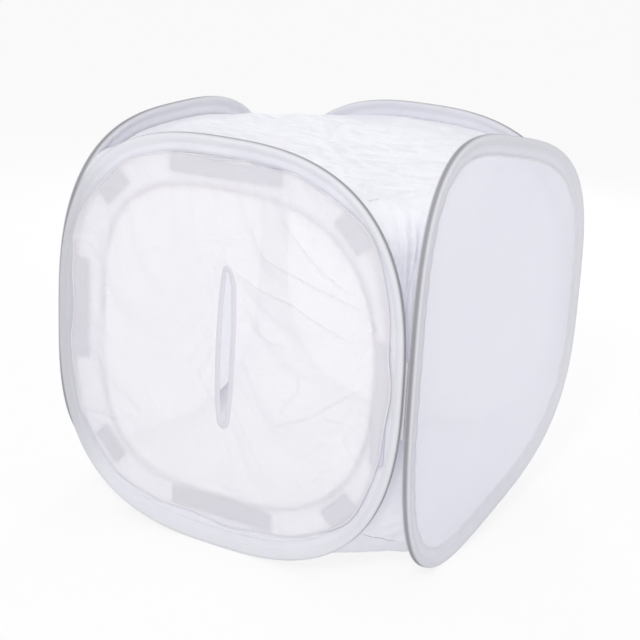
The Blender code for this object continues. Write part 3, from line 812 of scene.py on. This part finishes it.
def seam_arcs(panel):
    """The seam's four stretches. Floor and roof run to the right, right and left run up."""
    outline = hoop_outline(panel)
    line = outline + inward(outline) * SEAM_IN
    limit = CORNER_SHARE * (HALF_WIDTH - SEAM_IN)
    middle = line[:, 1].mean()
    start = np.flatnonzero(line[:, 0] > limit)[0]
    turned = np.roll(line, -start, 0)
    x, y = turned.T
    level = np.abs(x) <= limit
    roof, floor = turned[level & (y > middle)], turned[level & (y < middle)]
    right = np.vstack([floor[-1:], turned[x > limit], roof[:1]])
    left = np.vstack([roof[-1:], turned[x < -limit], floor[:1]])
    return {"floor": floor, "right": right, "roof": roof[::-1], "left": left[::-1]}


def seam_line(name, stretch, count):
    """Even points along one stretch of a panel's seam, where the body's cloth is sewn on."""
    return on_panel(PANELS[name], evenly(seam_arcs(PANELS[name])[stretch], count), -SEAM_CLEAR)


def roof_top(points):
    """Height that the roof's cloth keeps near its edge, in the direction of each point."""
    turn = np.arctan2(points[:, 1], points[:, 0]) / (math.pi / 4) % 8
    low = np.floor(turn).astype(int) % 8
    tops = np.array(ROOF_TOPS)
    share = smooth_step(turn - np.floor(turn))
    return tops[low] * (1 - share) + tops[(low + 1) % 8] * share


def corner_row(a, b):
    """The line in which roof and gusset meet: it arches to the height of the roof."""
    share = np.arange(CHORD + 1)[:, None] / CHORD
    row = a * (1 - share) + b * share
    arch = np.sin(math.pi * share[:, 0]) ** ARCH_POWER
    row[:, 2] += np.clip(roof_top(row) - row[:, 2], 0, None) * arch
    return row


def roof_corner(first, second):
    """The line in which the roof meets the gusset between two panels."""
    return corner_row(seam_line(first, "roof", ROOF_EDGE)[-1], seam_line(second, "roof", ROOF_EDGE)[0])


def sheet_border(which):
    """The roof's or floor's border in space, and how firmly each of its points is held."""
    border = []
    for first, second in GUSSETS:
        stretch = seam_line(first, which, ROOF_EDGE)
        if which == "roof":
            row = roof_corner(first, second)[1:-1]
        else:
            share = np.arange(1, CHORD)[:, None] / CHORD
            row = stretch[-1] * (1 - share) + seam_line(second, which, ROOF_EDGE)[0] * share
        border += [stretch, row]
    fixed = np.r_[np.ones(ROOF_EDGE), np.full(CHORD - 1, BODY_PIN)]
    return np.vstack(border), np.tile(fixed, len(GUSSETS))


def polar_share(points, border):
    """Each point's share of the way from the middle to the border, and the border's height."""
    angle = np.arctan2(border[:, 1], border[:, 0])
    order = np.argsort(angle)
    asked = np.arctan2(points[:, 1], points[:, 0])
    reach = np.hypot(border[:, 0], border[:, 1])
    far = np.interp(asked, angle[order], reach[order], period=2 * math.pi)
    high = np.interp(asked, angle[order], border[order, 2], period=2 * math.pi)
    return np.hypot(points[:, 0], points[:, 1]) / far, high


def quadrant(points):
    """0 to 3 for the panel, in the order of PANELS, that a place lies nearest to."""
    x, y = points[:, 0], points[:, 1]
    return np.where(np.abs(x) < np.abs(y), np.where(y < 0, 0, 2), np.where(x > 0, 1, 3))


def flat_sheet(which, step):
    """The roof's or floor's mesh in its first shape, with its pins and parts."""
    border, fixed = sheet_border(which)
    inner = triangle_grid((-MID, -MID), (MID, MID), step)
    reach = np.linspace(-DIAGONAL, DIAGONAL, int(2 * DIAGONAL / step))
    lines = [np.stack([reach, reach], 1), np.stack([reach, -reach], 1)]
    lines = [line[inside(line, border[:, :2] * DIAGONAL_SHARE)] for line in lines]
    inner = inner[inside(inner, border[:, :2] * GRID_SHARE)]
    inner = away_from(inner, np.vstack([border[:, :2], *lines]), step * GRID_GAP)
    points, faces, where = triangulate(border[:, :2], [], inner, lines)
    share, high = polar_share(points, border)
    if which == "roof":
        top = roof_top(points)
        fall = np.clip((share - SHOULDER) / (1 - SHOULDER), 0, 1) ** 2
        height = ROOF_MIDDLE + (top - ROOF_MIDDLE) * share**1.6 + (high - top) * fall
        pins = np.full(len(points), BODY_PIN)
    else:
        rise = np.clip((share - FLOOR_FLAT) / (1 - FLOOR_FLAT), 0, 1)
        height = FLOOR_UP + (high - FLOOR_UP) * rise**1.5
        pins = np.where(share < FLOOR_FLAT + 0.02, 1.0, 0.0)
    places = [where[i] for i in range(len(border))]
    height[places] = border[:, 2]
    pins[places] = fixed
    part = quadrant(points[faces].mean(1)) + (0 if which == "roof" else 4)
    return np.column_stack([points, height]), faces, pins, part


def gusset_sheet(number):
    """The upright strip from one panel's right hand seam to the next one's left hand."""
    first, second = GUSSETS[number]
    up = seam_line(first, "right", GUSSET_ROWS)
    down = seam_line(second, "left", GUSSET_ROWS)
    share = np.arange(CHORD + 1)[:, None] / CHORD
    arch = corner_row(up[-1], down[-1]) - (up[-1] * (1 - share) + down[-1] * share)
    points = []
    for k, (a, b) in enumerate(zip(up, down)):
        centre = -(a + b) / 2
        centre[2] = 0
        pull = GUSSET_PULL * np.linalg.norm(b - a) * math.sin(math.pi * k / (GUSSET_ROWS - 1))
        centre /= np.linalg.norm(centre)
        level = k / (GUSSET_ROWS - 1)
        row = a * (1 - share) + b * share + centre * pull * 4 * share * (1 - share)
        row += arch * smooth_step((level - ARCH_FADE) / (1 - ARCH_FADE))
        swell = math.exp(-(((level - 0.9) / 0.09) ** 2)) if k < GUSSET_ROWS - 1 else 0.0
        row -= centre * CORNER_OUT * swell * np.sin(math.pi * share)
        points.append(row)
    wide = CHORD + 1
    starts = [k * wide + i for k in range(GUSSET_ROWS - 1) for i in range(CHORD)]
    faces = [(c, c + 1, c + wide + 1, c + wide) for c in starts]
    pins = np.tile(np.r_[1, np.full(CHORD - 1, BODY_PIN), 1], GUSSET_ROWS)
    part = 8 + 2 * number + (np.array(starts) % wide >= CHORD // 2)
    return np.vstack(points), faces, pins, part


def joined_sheets(sheets):
    """One mesh from several that share border points."""
    faces = []
    total = 0
    for sheet in sheets:
        faces += [tuple(int(v) + total for v in face) for face in sheet[1]]
        total += len(sheet[0])
    points, pins, parts = (np.concatenate([sheet[k] for sheet in sheets]) for k in (0, 2, 3))
    keys, kept = {}, []
    renumber = np.zeros(total, int)
    for i, key in enumerate(map(tuple, np.round(points, 5))):
        if key not in keys:
            keys[key] = len(kept)
            kept.append(i)
        renumber[i] = keys[key]
    faces = [tuple(renumber[list(face)]) for face in faces]
    return points[kept], faces, pins[kept], parts


def soften(points, faces, weight):
    """Rounds a mesh off where the weight is above zero."""
    pairs = [(f[i - 1], f[i]) for f in faces for i in range(len(f))]
    a, b = np.unique(np.sort(np.array(pairs), axis=1), axis=0).T
    count = np.bincount(a, minlength=len(points)) + np.bincount(b, minlength=len(points))
    for _ in range(SOFTEN_ROUNDS):
        total = np.zeros_like(points)
        np.add.at(total, a, points[b])
        np.add.at(total, b, points[a])
        points = points + (total / count[:, None] - points) * weight[:, None]
    return points


def corner_nearness(points):
    """1 on the lines in which the roof meets the gussets, falling to 0 a little away."""
    gap = np.full(len(points), 9.0)
    for first, second in GUSSETS:
        for p in roof_corner(first, second):
            gap = np.minimum(gap, np.linalg.norm(points - p, axis=1))
    return 1 - smooth_step((gap - 0.012) / 0.040)


def fold_place(points, path):
    """Each point's distance to a path, on which side it lies, and its share of the way."""
    line = evenly(np.array(path), 40)
    along = np.gradient(line, axis=0)
    along /= np.linalg.norm(along, axis=1)[:, None]
    best = np.full(len(points), 9.0)
    side = np.zeros(len(points))
    share = np.zeros(len(points))
    for i, (p, a) in enumerate(zip(line, along)):
        away = points - p
        gap = np.hypot(*away.T)
        near = gap < best
        best[near] = gap[near]
        side[near] = np.sign(a[0] * away[near, 1] - a[1] * away[near, 0])
        share[near] = i / (len(line) - 1)
    return best, side, share


def crease_relief(points, folds, reach, blunt):
    """Crisp creases, one side of each standing higher as far as reach half widths away."""
    out = np.zeros(len(points))
    for fold in folds:
        away, side, share = fold_place(points, fold.path)
        ends = np.clip(np.sin(math.pi * share), 0, 1) ** blunt
        step = np.tanh(side * away / fold.spread) * np.exp(-((away / (reach * fold.spread)) ** 2))
        out += fold.rise * ends * (0.5 * np.exp(-away / fold.spread) + 0.5 * step)
    return out


def roof_wrinkles(points):
    """Fine crinkles of the nylon, drawn out along the roof's width, and its creases."""
    high = smooth_step((points[:, 2] - 0.47) / 0.04)
    crinkles = waves(points, ROOF_WAVES) + ridges(points, ROOF_RIDGES)
    return crinkles + high * crease_relief(points[:, :2], ROOF_CREASES, 4, 1)


def gusset_fan(points):
    """Folds that fan out towards the roof from where two hoops meet."""
    a, b = MID - np.abs(points[:, 0]), MID - np.abs(points[:, 1])
    q = (a - b) / (a + b)
    z = points[:, 2]
    near = (1 - smooth_step((a + b - 0.17) / 0.06)) * smooth_step((1 - q * q) / 0.2)
    level = smooth_step((z - 0.30) / 0.14) * (1 - 0.8 * smooth_step((z - 0.50) / 0.05))
    bend = noise_at(points, (4.0, 4.0, 9.0), 21.0)
    soft = np.sin(8.5 * q + 3.0 * bend) + 0.6 * np.sin(17.0 * q - 4.0 * bend + 1.0)
    sharp = 1 - np.abs(np.sin(6.0 * q + 2.2 * bend + 0.7)) * 3
    return near * level * (0.0030 * soft + 0.0028 * np.clip(sharp, 0, 1))


def make_body(material):
    sheets = [flat_sheet("roof", ROOF_STEP), flat_sheet("floor", FLOOR_STEP)]
    sheets += [gusset_sheet(number) for number in range(len(GUSSETS))]
    points, faces, pins, part = joined_sheets(sheets)
    whole = new_object("body_whole", points, faces, material)
    set_attribute(whole.data, "part", part, "INT", "FACE")
    co = simulate(whole, pins, BODY_SLACK, BODY_GRAVITY)
    co[:, 2] = np.maximum(co[:, 2], FLOOR_UP)
    set_points(whole, co)
    points, faces, part = refined(whole)
    near = np.minimum(*np.abs(BODY_EDGE - np.abs(points[:, :2])).T)
    points = soften(points, faces, 0.6 * corner_nearness(points) * smooth_step(near / 0.030))
    fade = smooth_step(near / 0.015) * smooth_step((points[:, 2] - 0.01) / 0.05)
    relief = (roof_wrinkles(points) + gusset_fan(points)) * fade
    points = points + vertex_normals(points, faces) * relief[:, None]
    normals = vertex_normals(points, faces)
    made = {}
    for label, numbers in BODY_PARTS.items():
        made[label] = cut_piece(label, points, faces, normals, np.isin(part, numbers), material)
    return made


# Cover

def slit_ring(grown, count):
    return evenly(superellipse(SLIT_CENTRE, SLIT_HALF + grown, 2.0), count, True)


def cover_edge():
    """The cover's wavy edge."""
    line = superellipse(COVER_CENTRE, COVER_HALF, COVER_ROUNDNESS)
    angle = np.arctan2(*(line - COVER_CENTRE).T[::-1])
    wave = 0.0022 * np.sin(9 * angle + 2.1) + 0.0014 * np.sin(17 * angle + 2.0)
    wave -= 0.003 * np.exp(-(((angle - 2.1) / 0.30) ** 2))
    away = line - COVER_CENTRE
    away /= np.linalg.norm(away, axis=1)[:, None]
    return evenly(line + away * (wave - 0.002)[:, None], RIM_POINTS, True)


def spin(degrees):
    """The matrix that turns rows of a panel's across and up."""
    turn = math.radians(degrees)
    return np.array([[math.cos(turn), -math.sin(turn)], [math.sin(turn), math.cos(turn)]]).T


def patch_distance(points, patch):
    """How far points of the panel lie outside a patch; negative inside it."""
    local = (points - (patch.x, patch.z)) @ spin(-patch.slant)
    return np.maximum(np.abs(local[:, 0]) - patch.width / 2, np.abs(local[:, 1]) - patch.height / 2)


def patch_reach(points):
    return np.min([patch_distance(points, patch) for patch in PATCHES.values()], axis=0)


def slit_reach(points):
    """How far points lie outside the slit's binding, about."""
    x, z = ((points - SLIT_CENTRE) / (SLIT_HALF + SLIT_BORDER)).T
    return (np.hypot(x, z) - 1) * (SLIT_HALF[0] + SLIT_BORDER)


def opening_reach(points, grown=0.0):
    """Below 1 inside the front opening, above 1 on the flange round it."""
    x, z = (points - OPENING_CENTRE).T
    power = np.where(x < 0, OPENING_ROUNDNESS, OPENING_RIGHT_ROUNDNESS)
    half = OPENING_HALF + grown
    return np.abs(x / half[0]) ** power + np.abs(z / half[1]) ** power


def cover_bulge(points):
    """The broad shape of the loose cloth: a soft belly and its main folds."""
    x, z = points.T
    out = 0.005 * np.exp(-(((x - 0.06) / 0.15) ** 2 + ((z - 0.24) / 0.15) ** 2))
    for fold in BROAD_FOLDS:
        away, _, share = fold_place(points, fold.path)
        ends = np.sin(math.pi * (0.15 + 0.7 * share))
        out += BROAD_RISE * fold.rise * np.exp(-((away / fold.spread) ** 2)) * ends
    return out * np.clip(1.4 * (1 - opening_reach(points, 0.009)), 0, 1)


def cover_creases(points):
    """The cover's creases and the nylon's fine crumple."""
    flat = np.column_stack([points[:, 0], np.zeros(len(points)), points[:, 1]])
    out = CREASE_RISE * crease_relief(points, CREASES, 5, 0.6) + waves(flat, COVER_WAVES)
    return out + ridges(flat, COVER_RIDGES) * smooth_step((points[:, 0] + 0.05) / 0.15)


def boundary_loops(faces):
    """The closed loops of border vertices of a mesh, the longest first."""
    seen = {pair for face in faces for pair in zip(face, face[1:] + face[:1])}
    after = {a: b for a, b in seen if (b, a) not in seen}
    loops = []
    while after:
        start = next(iter(after))
        loop = [start]
        at = after.pop(start)
        while at != start:
            loop.append(at)
            at = after.pop(at)
        loops.append(loop)
    return sorted(loops, key=len, reverse=True)


def edge_band(name, line, outwards, wide, thick, surface, material):
    """A tape folded over a cloth's edge, laid on the cloth's own surface."""
    along = np.roll(line, -2, 0) - np.roll(line, 2, 0)
    across = np.stack([-along[:, 2], np.zeros(len(line)), along[:, 0]], 1)
    across /= np.linalg.norm(across, axis=1)[:, None]
    across *= np.sign(((line - line.mean(0)) * across).sum(1))[:, None] * (1 if outwards else -1)
    sections = []
    for p, a in zip(line, across):
        front, back = [], []
        for share, lift in TAPE_LAYERS:
            x, _, z = p + a * wide * share
            hit = surface.ray_cast(Vector((x, p[1] - 0.03, z)), Vector((0, 1, 0)), 0.06)[0]
            y = hit.y if hit else p[1]
            front.append((x, y - thick * lift, z))
            back.append((x, y + thick * lift * 0.6, z))
        sections.append(front + back[::-1])
    return loop_solid(name, sections, material)


def make_cover_sheet(material):
    """The cover, with the lines of its edge and of its slit."""
    rim = cover_edge()
    slit = slit_ring(0.0, SLIT_POINTS)
    border = slit_ring(SLIT_BORDER, BORDER_POINTS)
    inner = triangle_grid(*COVER_GRID, COVER_STEP)
    inner = inner[inside(inner, rim)]
    inner = inner[~inside(inner, border)]
    across = np.linspace(-BEND_HALF, BEND_HALF, BEND_POINTS)
    bend = np.stack([across, np.full(BEND_POINTS, COVER_BEND)], 1)
    inner = away_from(inner, np.vstack([rim, border, bend]), COVER_GAP)
    points, faces, _ = triangulate(rim, [slit], inner, [np.vstack([border, border[:1]]), bend])
    first = on_panel(PANELS["front"], points, COVER_OUT + cover_bulge(points))
    whole = new_object("cover_whole", first, faces, material)
    held = np.where(patch_reach(points) < 0.001, 1.0, SOFT_PIN)
    held[slit_reach(points) < 0.002] = SLIT_PIN
    co = simulate(whole, held, COVER_SLACK, COVER_GRAVITY)
    low = np.where(opening_reach(points) > 1, COVER_OUT - 0.0004, -0.006)
    co[:, 1] = np.minimum(co[:, 1], -(MID + low))
    set_points(whole, co)
    points, faces, _ = refined(whole)
    flat = points[:, [0, 2]]
    free = smooth_step((patch_reach(flat) - 0.001) / 0.012) * smooth_step((slit_reach(flat) + 0.006) / 0.010)
    loose = free * smooth_step((1.0 - opening_reach(flat, -0.004)) / 0.25)
    points[:, 1] -= cover_creases(flat) * np.maximum(loose, 0.25 * free)
    low = np.where(opening_reach(flat, 0.004) > 1, COVER_OUT - 0.0005, -0.008)
    points[:, 1] = np.minimum(points[:, 1], -(MID + low))
    rim_line, slit_line = [points[loop] for loop in boundary_loops(faces)[:2]]
    return new_object("cover_sheet", points, faces, material), rim_line, slit_line


def surface_of(piece):
    co = [v.co.copy() for v in piece.data.vertices]
    return BVHTree.FromPolygons(co, [tuple(p.vertices) for p in piece.data.polygons])


# Patches and tapes

def rounded_rectangle(patch, inset):
    """A patch's outline, moved inwards, as points of its panel."""
    w, h, c = patch.width / 2 - inset, patch.height / 2 - inset, max(0.0006, PATCH_CORNER - inset / 2)
    line = []
    for turn, (sx, sy) in enumerate(((1, 1), (-1, 1), (-1, -1), (1, -1))):
        for k in range(CORNER_POINTS):
            angle = math.pi / 2 * (turn + k / (CORNER_POINTS - 1))
            line.append((sx * (w - c) + c * math.cos(angle), sy * (h - c) + c * math.sin(angle)))
    return np.array((patch.x, patch.z)) + np.array(line) @ spin(patch.slant)


def patch_piece(name, patch, panel, out, material):
    """A sewn patch of hook or loop tape, its edges pressed down by the seam."""
    rings = []
    for inset, level in PATCH_LAYERS:
        line = rounded_rectangle(patch, inset)
        rings.append(on_panel(panel, line, out + level * PATCH_THICK / 2))
    return capped_solid(name, rings, material)


def patch_stitches(name, patches, panel, out, material):
    rows = []
    for patch in patches:
        line = rounded_rectangle(patch, 0.0030)
        length = np.linalg.norm(line - np.roll(line, -1, 0), axis=1).sum()
        path = evenly(line, int(length / STITCH_PITCH), True)
        rows.append((on_panel(panel, path, out), panel_normals(panel, path)))
    return stitch_boxes(name, rows, material)


def corner_tape(name, side_x, side_y, leaves, material):
    """The tape in a corner: both its leaves folded from one strip, or just one of them."""
    near, far = TAPE_NEAR, TAPE_NEAR + TAPE_THICK
    reach = np.linspace(near, TAPE_LEAF, 7)
    if leaves == "both":
        line = [(a, near) for a in reach[::-1]] + [(near, b) for b in reach[1:]]
        back = [(far, b) for b in reach[:0:-1]] + [(a, far) for a in reach[1:]]
    elif leaves == "x":
        line, back = [(near, b) for b in reach], [(far, b) for b in reach[::-1]]
    else:
        line, back = [(a, near) for a in reach], [(a, far) for a in reach[::-1]]
    section = np.array(line + back)
    middle = min(PANELS["front"].height, PANELS["back"].height) / 2
    rings = []
    for share in np.arange(TAPE_ROWS) / (TAPE_ROWS - 1) - 0.5:
        nip = 1 - 0.25 * (2 * abs(share)) ** 12
        ring = HINGE - np.where(section > far, near + (section - near) * nip, section)
        up = np.full(len(ring), middle + TAPE_HEIGHT * share)
        rings.append(np.column_stack([ring * (side_x, side_y), up]))
    return capped_solid(name, rings, material)


# Everything in its place


def put(piece, owner, node):
    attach(piece, owner)
    if node:
        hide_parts(node)
    return piece


def put_over_corner(piece, node):
    """A piece that bends over a corner, from one panel's body to the next one's."""
    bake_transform(piece)
    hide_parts(node)


def put_squashed(piece, owner, node):
    """A piece of the body's cloth, put on its panel in place of its part, with a mesh of its own."""
    put(piece, owner, node)
    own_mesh(piece)


def place_body(body):
    for name in PANELS:
        put_squashed(body["roof_" + name], name, "top_panel")
        put_squashed(body["floor_" + name], name, "bottom_panel")
    for label, key in CORNER_GUSSETS.items():
        put_over_corner(body[key], "gusset_" + label)
    for name in ("back", "left"):
        put_squashed(body["gusset_cloth_" + name], name, "gusset_back_left")


def dress_hoops(cloth, hem_cloth, seam, tape, thread):
    for name, panel in PANELS.items():
        put(make_hem(name, panel, hem_cloth), name, name + "_hoop_hem")
        stitches = put(hem_stitches(name, panel, thread), name, None)
        ridge = put(seam_ridge(name, panel, seam), name, None)
        if name == "front":
            sheet = put(make_flange(cloth), name, "front_flange")
            put(make_opening_binding(tape), name, "opening_binding")
        else:
            sheet = put(make_panel(name, panel, cloth), name, name + "_panel")


def dress_patches(loop, hook):
    """Makes the patches. Returns the hook patches that lift with the cover."""
    front, back = PANELS["front"], PANELS["back"]
    moving = []
    for name, patch in PATCHES.items():
        piece = patch_piece("loop_" + name, patch, front, LOOP_OUT, loop)
        put(piece, "front", "loop_patch_" + name)
        piece = patch_piece("hook_" + name, patch, front, HOOK_OUT, hook)
        put(piece, "front" if name == "top" else "front_cover", "hook_patch_" + name)
        if name != "top":
            moving.append(piece)
    for side, sign in (("left", 1), ("right", -1)):
        strip = BACKDROP_STRIP._replace(x=sign * BACKDROP_STRIP.x)
        piece = patch_piece("backdrop_loop_" + side, strip, back, -LOOP_OUT, loop)
        put(piece, "back", "backdrop_strip_" + side)
    return moving


def dress_cover(cloth, binding_cloth, thread):
    sheet, rim, slit = make_cover_sheet(cloth)
    surface = surface_of(sheet)
    hem = edge_band("cover_edge", rim, False, COVER_HEM, COVER_HEM_THICK, surface, binding_cloth)
    binding = edge_band("slit_tape", slit, True, SLIT_BORDER, SLIT_TAPE_THICK, surface, binding_cloth)
    for piece in (sheet, hem):
        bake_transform(piece)
    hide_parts("front_cover", "cover_header")
    put(binding, "front_cover", "slit_binding")
    moving = [patch for name, patch in PATCHES.items() if name != "top"]
    for name, owner, patches in (("cover", "front_cover", moving), ("header", "front", [PATCHES["top"]])):
        threads = patch_stitches(name + "_stitches", patches, PANELS["front"], COVER_OUT + 0.0001, thread)
        put(threads, owner, None)


def dress_corners(tape):
    for label, corner in CORNERS.items():
        piece = corner_tape("tape_" + label, corner.x, corner.y, "both", tape)
        put_over_corner(piece, "corner_tape_" + label)
    for owner, leaf in (("left", "x"), ("back", "y")):
        piece = corner_tape("tape_back_left_on_" + owner, -1, 1, leaf, tape)
        put(piece, owner, "corner_tape_back_left")


# Stage

def seen_ray(tree):
    """Socket that is 1 where the camera sees a surface, also in metal or through a clear part."""
    path = add(tree, "LightPath").outputs
    outer = path["Is Camera Ray"]
    for ray in ("Is Transmission Ray", "Is Glossy Ray"):
        outer = add(tree, "Math", (outer, path[ray]), operation="MAXIMUM").outputs[0]
    return outer


def stage_material():
    """A white table top. The camera sees it near to white, with the object's soft shadow."""
    made, tree, shader, output = shader_tree("stage_white")
    fill(tree, shader, Base_Color=(0.95, 0.95, 0.955, 1), Roughness=1.0, Specular_IOR_Level=0.0)
    glow = add(tree, "Emission")
    share = add(tree, "Math", (seen_ray(tree), FLOOR_GLOW), operation="MULTIPLY")
    mix = add(tree, "MixShader", (share.outputs[0], shader.outputs[0], glow.outputs[0]))
    fill(tree, output, Surface=mix.outputs[0])
    return made


def make_stage():
    corners = [(x * STAGE_HALF, y * STAGE_HALF, 0) for x, y in ((-1, -1), (1, -1), (1, 1), (-1, 1))]
    new_object("stage_floor", corners, [(0, 1, 2, 3)], stage_material())


def make_camera():
    flat = math.cos(ELEVATION)
    back = Vector((math.sin(AZIMUTH) * flat, -math.cos(AZIMUTH) * flat, math.sin(ELEVATION)))
    right = Vector((math.cos(AZIMUTH), math.sin(AZIMUTH), 0))
    up = back.cross(right)
    r = right * math.cos(ROLL) + up * math.sin(ROLL)
    u = up * math.cos(ROLL) - right * math.sin(ROLL)
    data = bpy.data.cameras.new("camera")
    data.sensor_width = SENSOR
    data.lens = FOCAL_PIXELS * SENSOR / FRAME_PIXELS
    camera = bpy.data.objects.new("camera", data)
    bpy.context.scene.collection.objects.link(camera)
    turn = Matrix((r, u, back)).transposed()
    camera.matrix_world = Matrix.Translation(TARGET + back * DISTANCE) @ turn.to_4x4()
    bpy.context.scene.camera = camera


def area_light(name, place, aim, size, power):
    data = bpy.data.lights.new(name, "AREA")
    data.shape = "DISK"
    data.size = size
    data.energy = power
    lamp = bpy.data.objects.new(name, data)
    lamp.location = place
    lamp.rotation_mode = "QUATERNION"
    lamp.rotation_quaternion = (Vector(aim) - Vector(place)).to_track_quat("-Z", "Y")
    bpy.context.scene.collection.objects.link(lamp)


def lights():
    scene = bpy.context.scene
    scene.view_settings.view_transform = "Standard"
    world = bpy.data.worlds.new("studio")
    world.use_nodes = True
    scene.world = world
    tree = world.node_tree
    plain = tree.nodes["Background"]
    fill(tree, plain, Color=(0.985, 0.985, 1.0, 1), Strength=0.79)
    white = add(tree, "Background", Color=(1, 1, 1, 1))
    mix = add(tree, "MixShader", (seen_ray(tree), plain.outputs[0], white.outputs[0]))
    fill(tree, tree.nodes["World Output"], Surface=mix.outputs[0])
    area_light("key_softbox", (0.8, -2.3, 2.0), (0, 0, 0.3), 0.4, 22)
    area_light("back_softbox", (-0.9, 2.1, 1.2), (0, 0, 0.4), 0.7, 13)


def main():
    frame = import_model()
    # The panels' rim colour is painted shade where they lie between the hem's legs
    cloth = cloth_material(
        "panel_nylon", (0.92, 0.92, 0.965), (0.86, 0.86, 0.925), 0.52, 0.07, 0.10, rim=(0.85, 0.85, 0.905)
    )
    cover = cloth_material("cover_nylon", (0.955, 0.94, 0.945), (0.90, 0.89, 0.915), 0.45, 0.13, 0.16)
    seam = cloth_material("seam_nylon", (0.96, 0.96, 0.98), (0.92, 0.92, 0.95), 0.15, 0.0, 0.1)
    body = cloth_material(
        "body_nylon", (0.965, 0.968, 0.99), (0.83, 0.835, 0.88), 0.44, 0.0, 0.6, (0.5, 1.6, 1), 55.0
    )
    # The hem's rim colour is the dark steel strip seen through its edge, and painted shade on the front
    # hoop's left side
    hem_cloth = cloth_material(
        "hem_nylon", (0.955, 0.955, 0.99), (0.89, 0.89, 0.945), 0.30, 0.0, 0.08, rim=(0.45, 0.445, 0.48)
    )
    tape = cloth_material("white_binding", (0.95, 0.945, 0.96), (0.89, 0.885, 0.91), 0.35, 0.0, 0.2)
    grey_tape = cloth_material("slit_binding_cloth", (0.80, 0.79, 0.84), (0.74, 0.735, 0.79), 0.15, 0.0, 0.2)
    thread = plain_material("sewing_thread", (0.88, 0.88, 0.90), (0.78, 0.78, 0.82), 0.6)
    steel = plain_material("spring_strip", (0.09, 0.09, 0.10), (0.15, 0.15, 0.16), 0.45, 0.6)
    loop = plain_material("loop_pile", (0.60, 0.59, 0.68), (0.70, 0.69, 0.78), 0.95, 0.0, 1400.0, 0.0008)
    hook = plain_material("hook_tape", (0.56, 0.55, 0.65), (0.66, 0.65, 0.74), 0.8, 0.0, 900.0, 0.0006)
    dress_hoops(cloth, hem_cloth, seam, tape, thread)
    place_body(make_body(body))
    hooks = dress_patches(loop, hook)
    dress_cover(cover, grey_tape, thread)
    dress_corners(tape)
    for node, thing in frame["nodes"].items():
        if node.endswith(("_hoop", "ferrule")):
            for slot in thing.material_slots:
                slot.material = steel
    make_stage()
    make_camera()
    lights()


main()
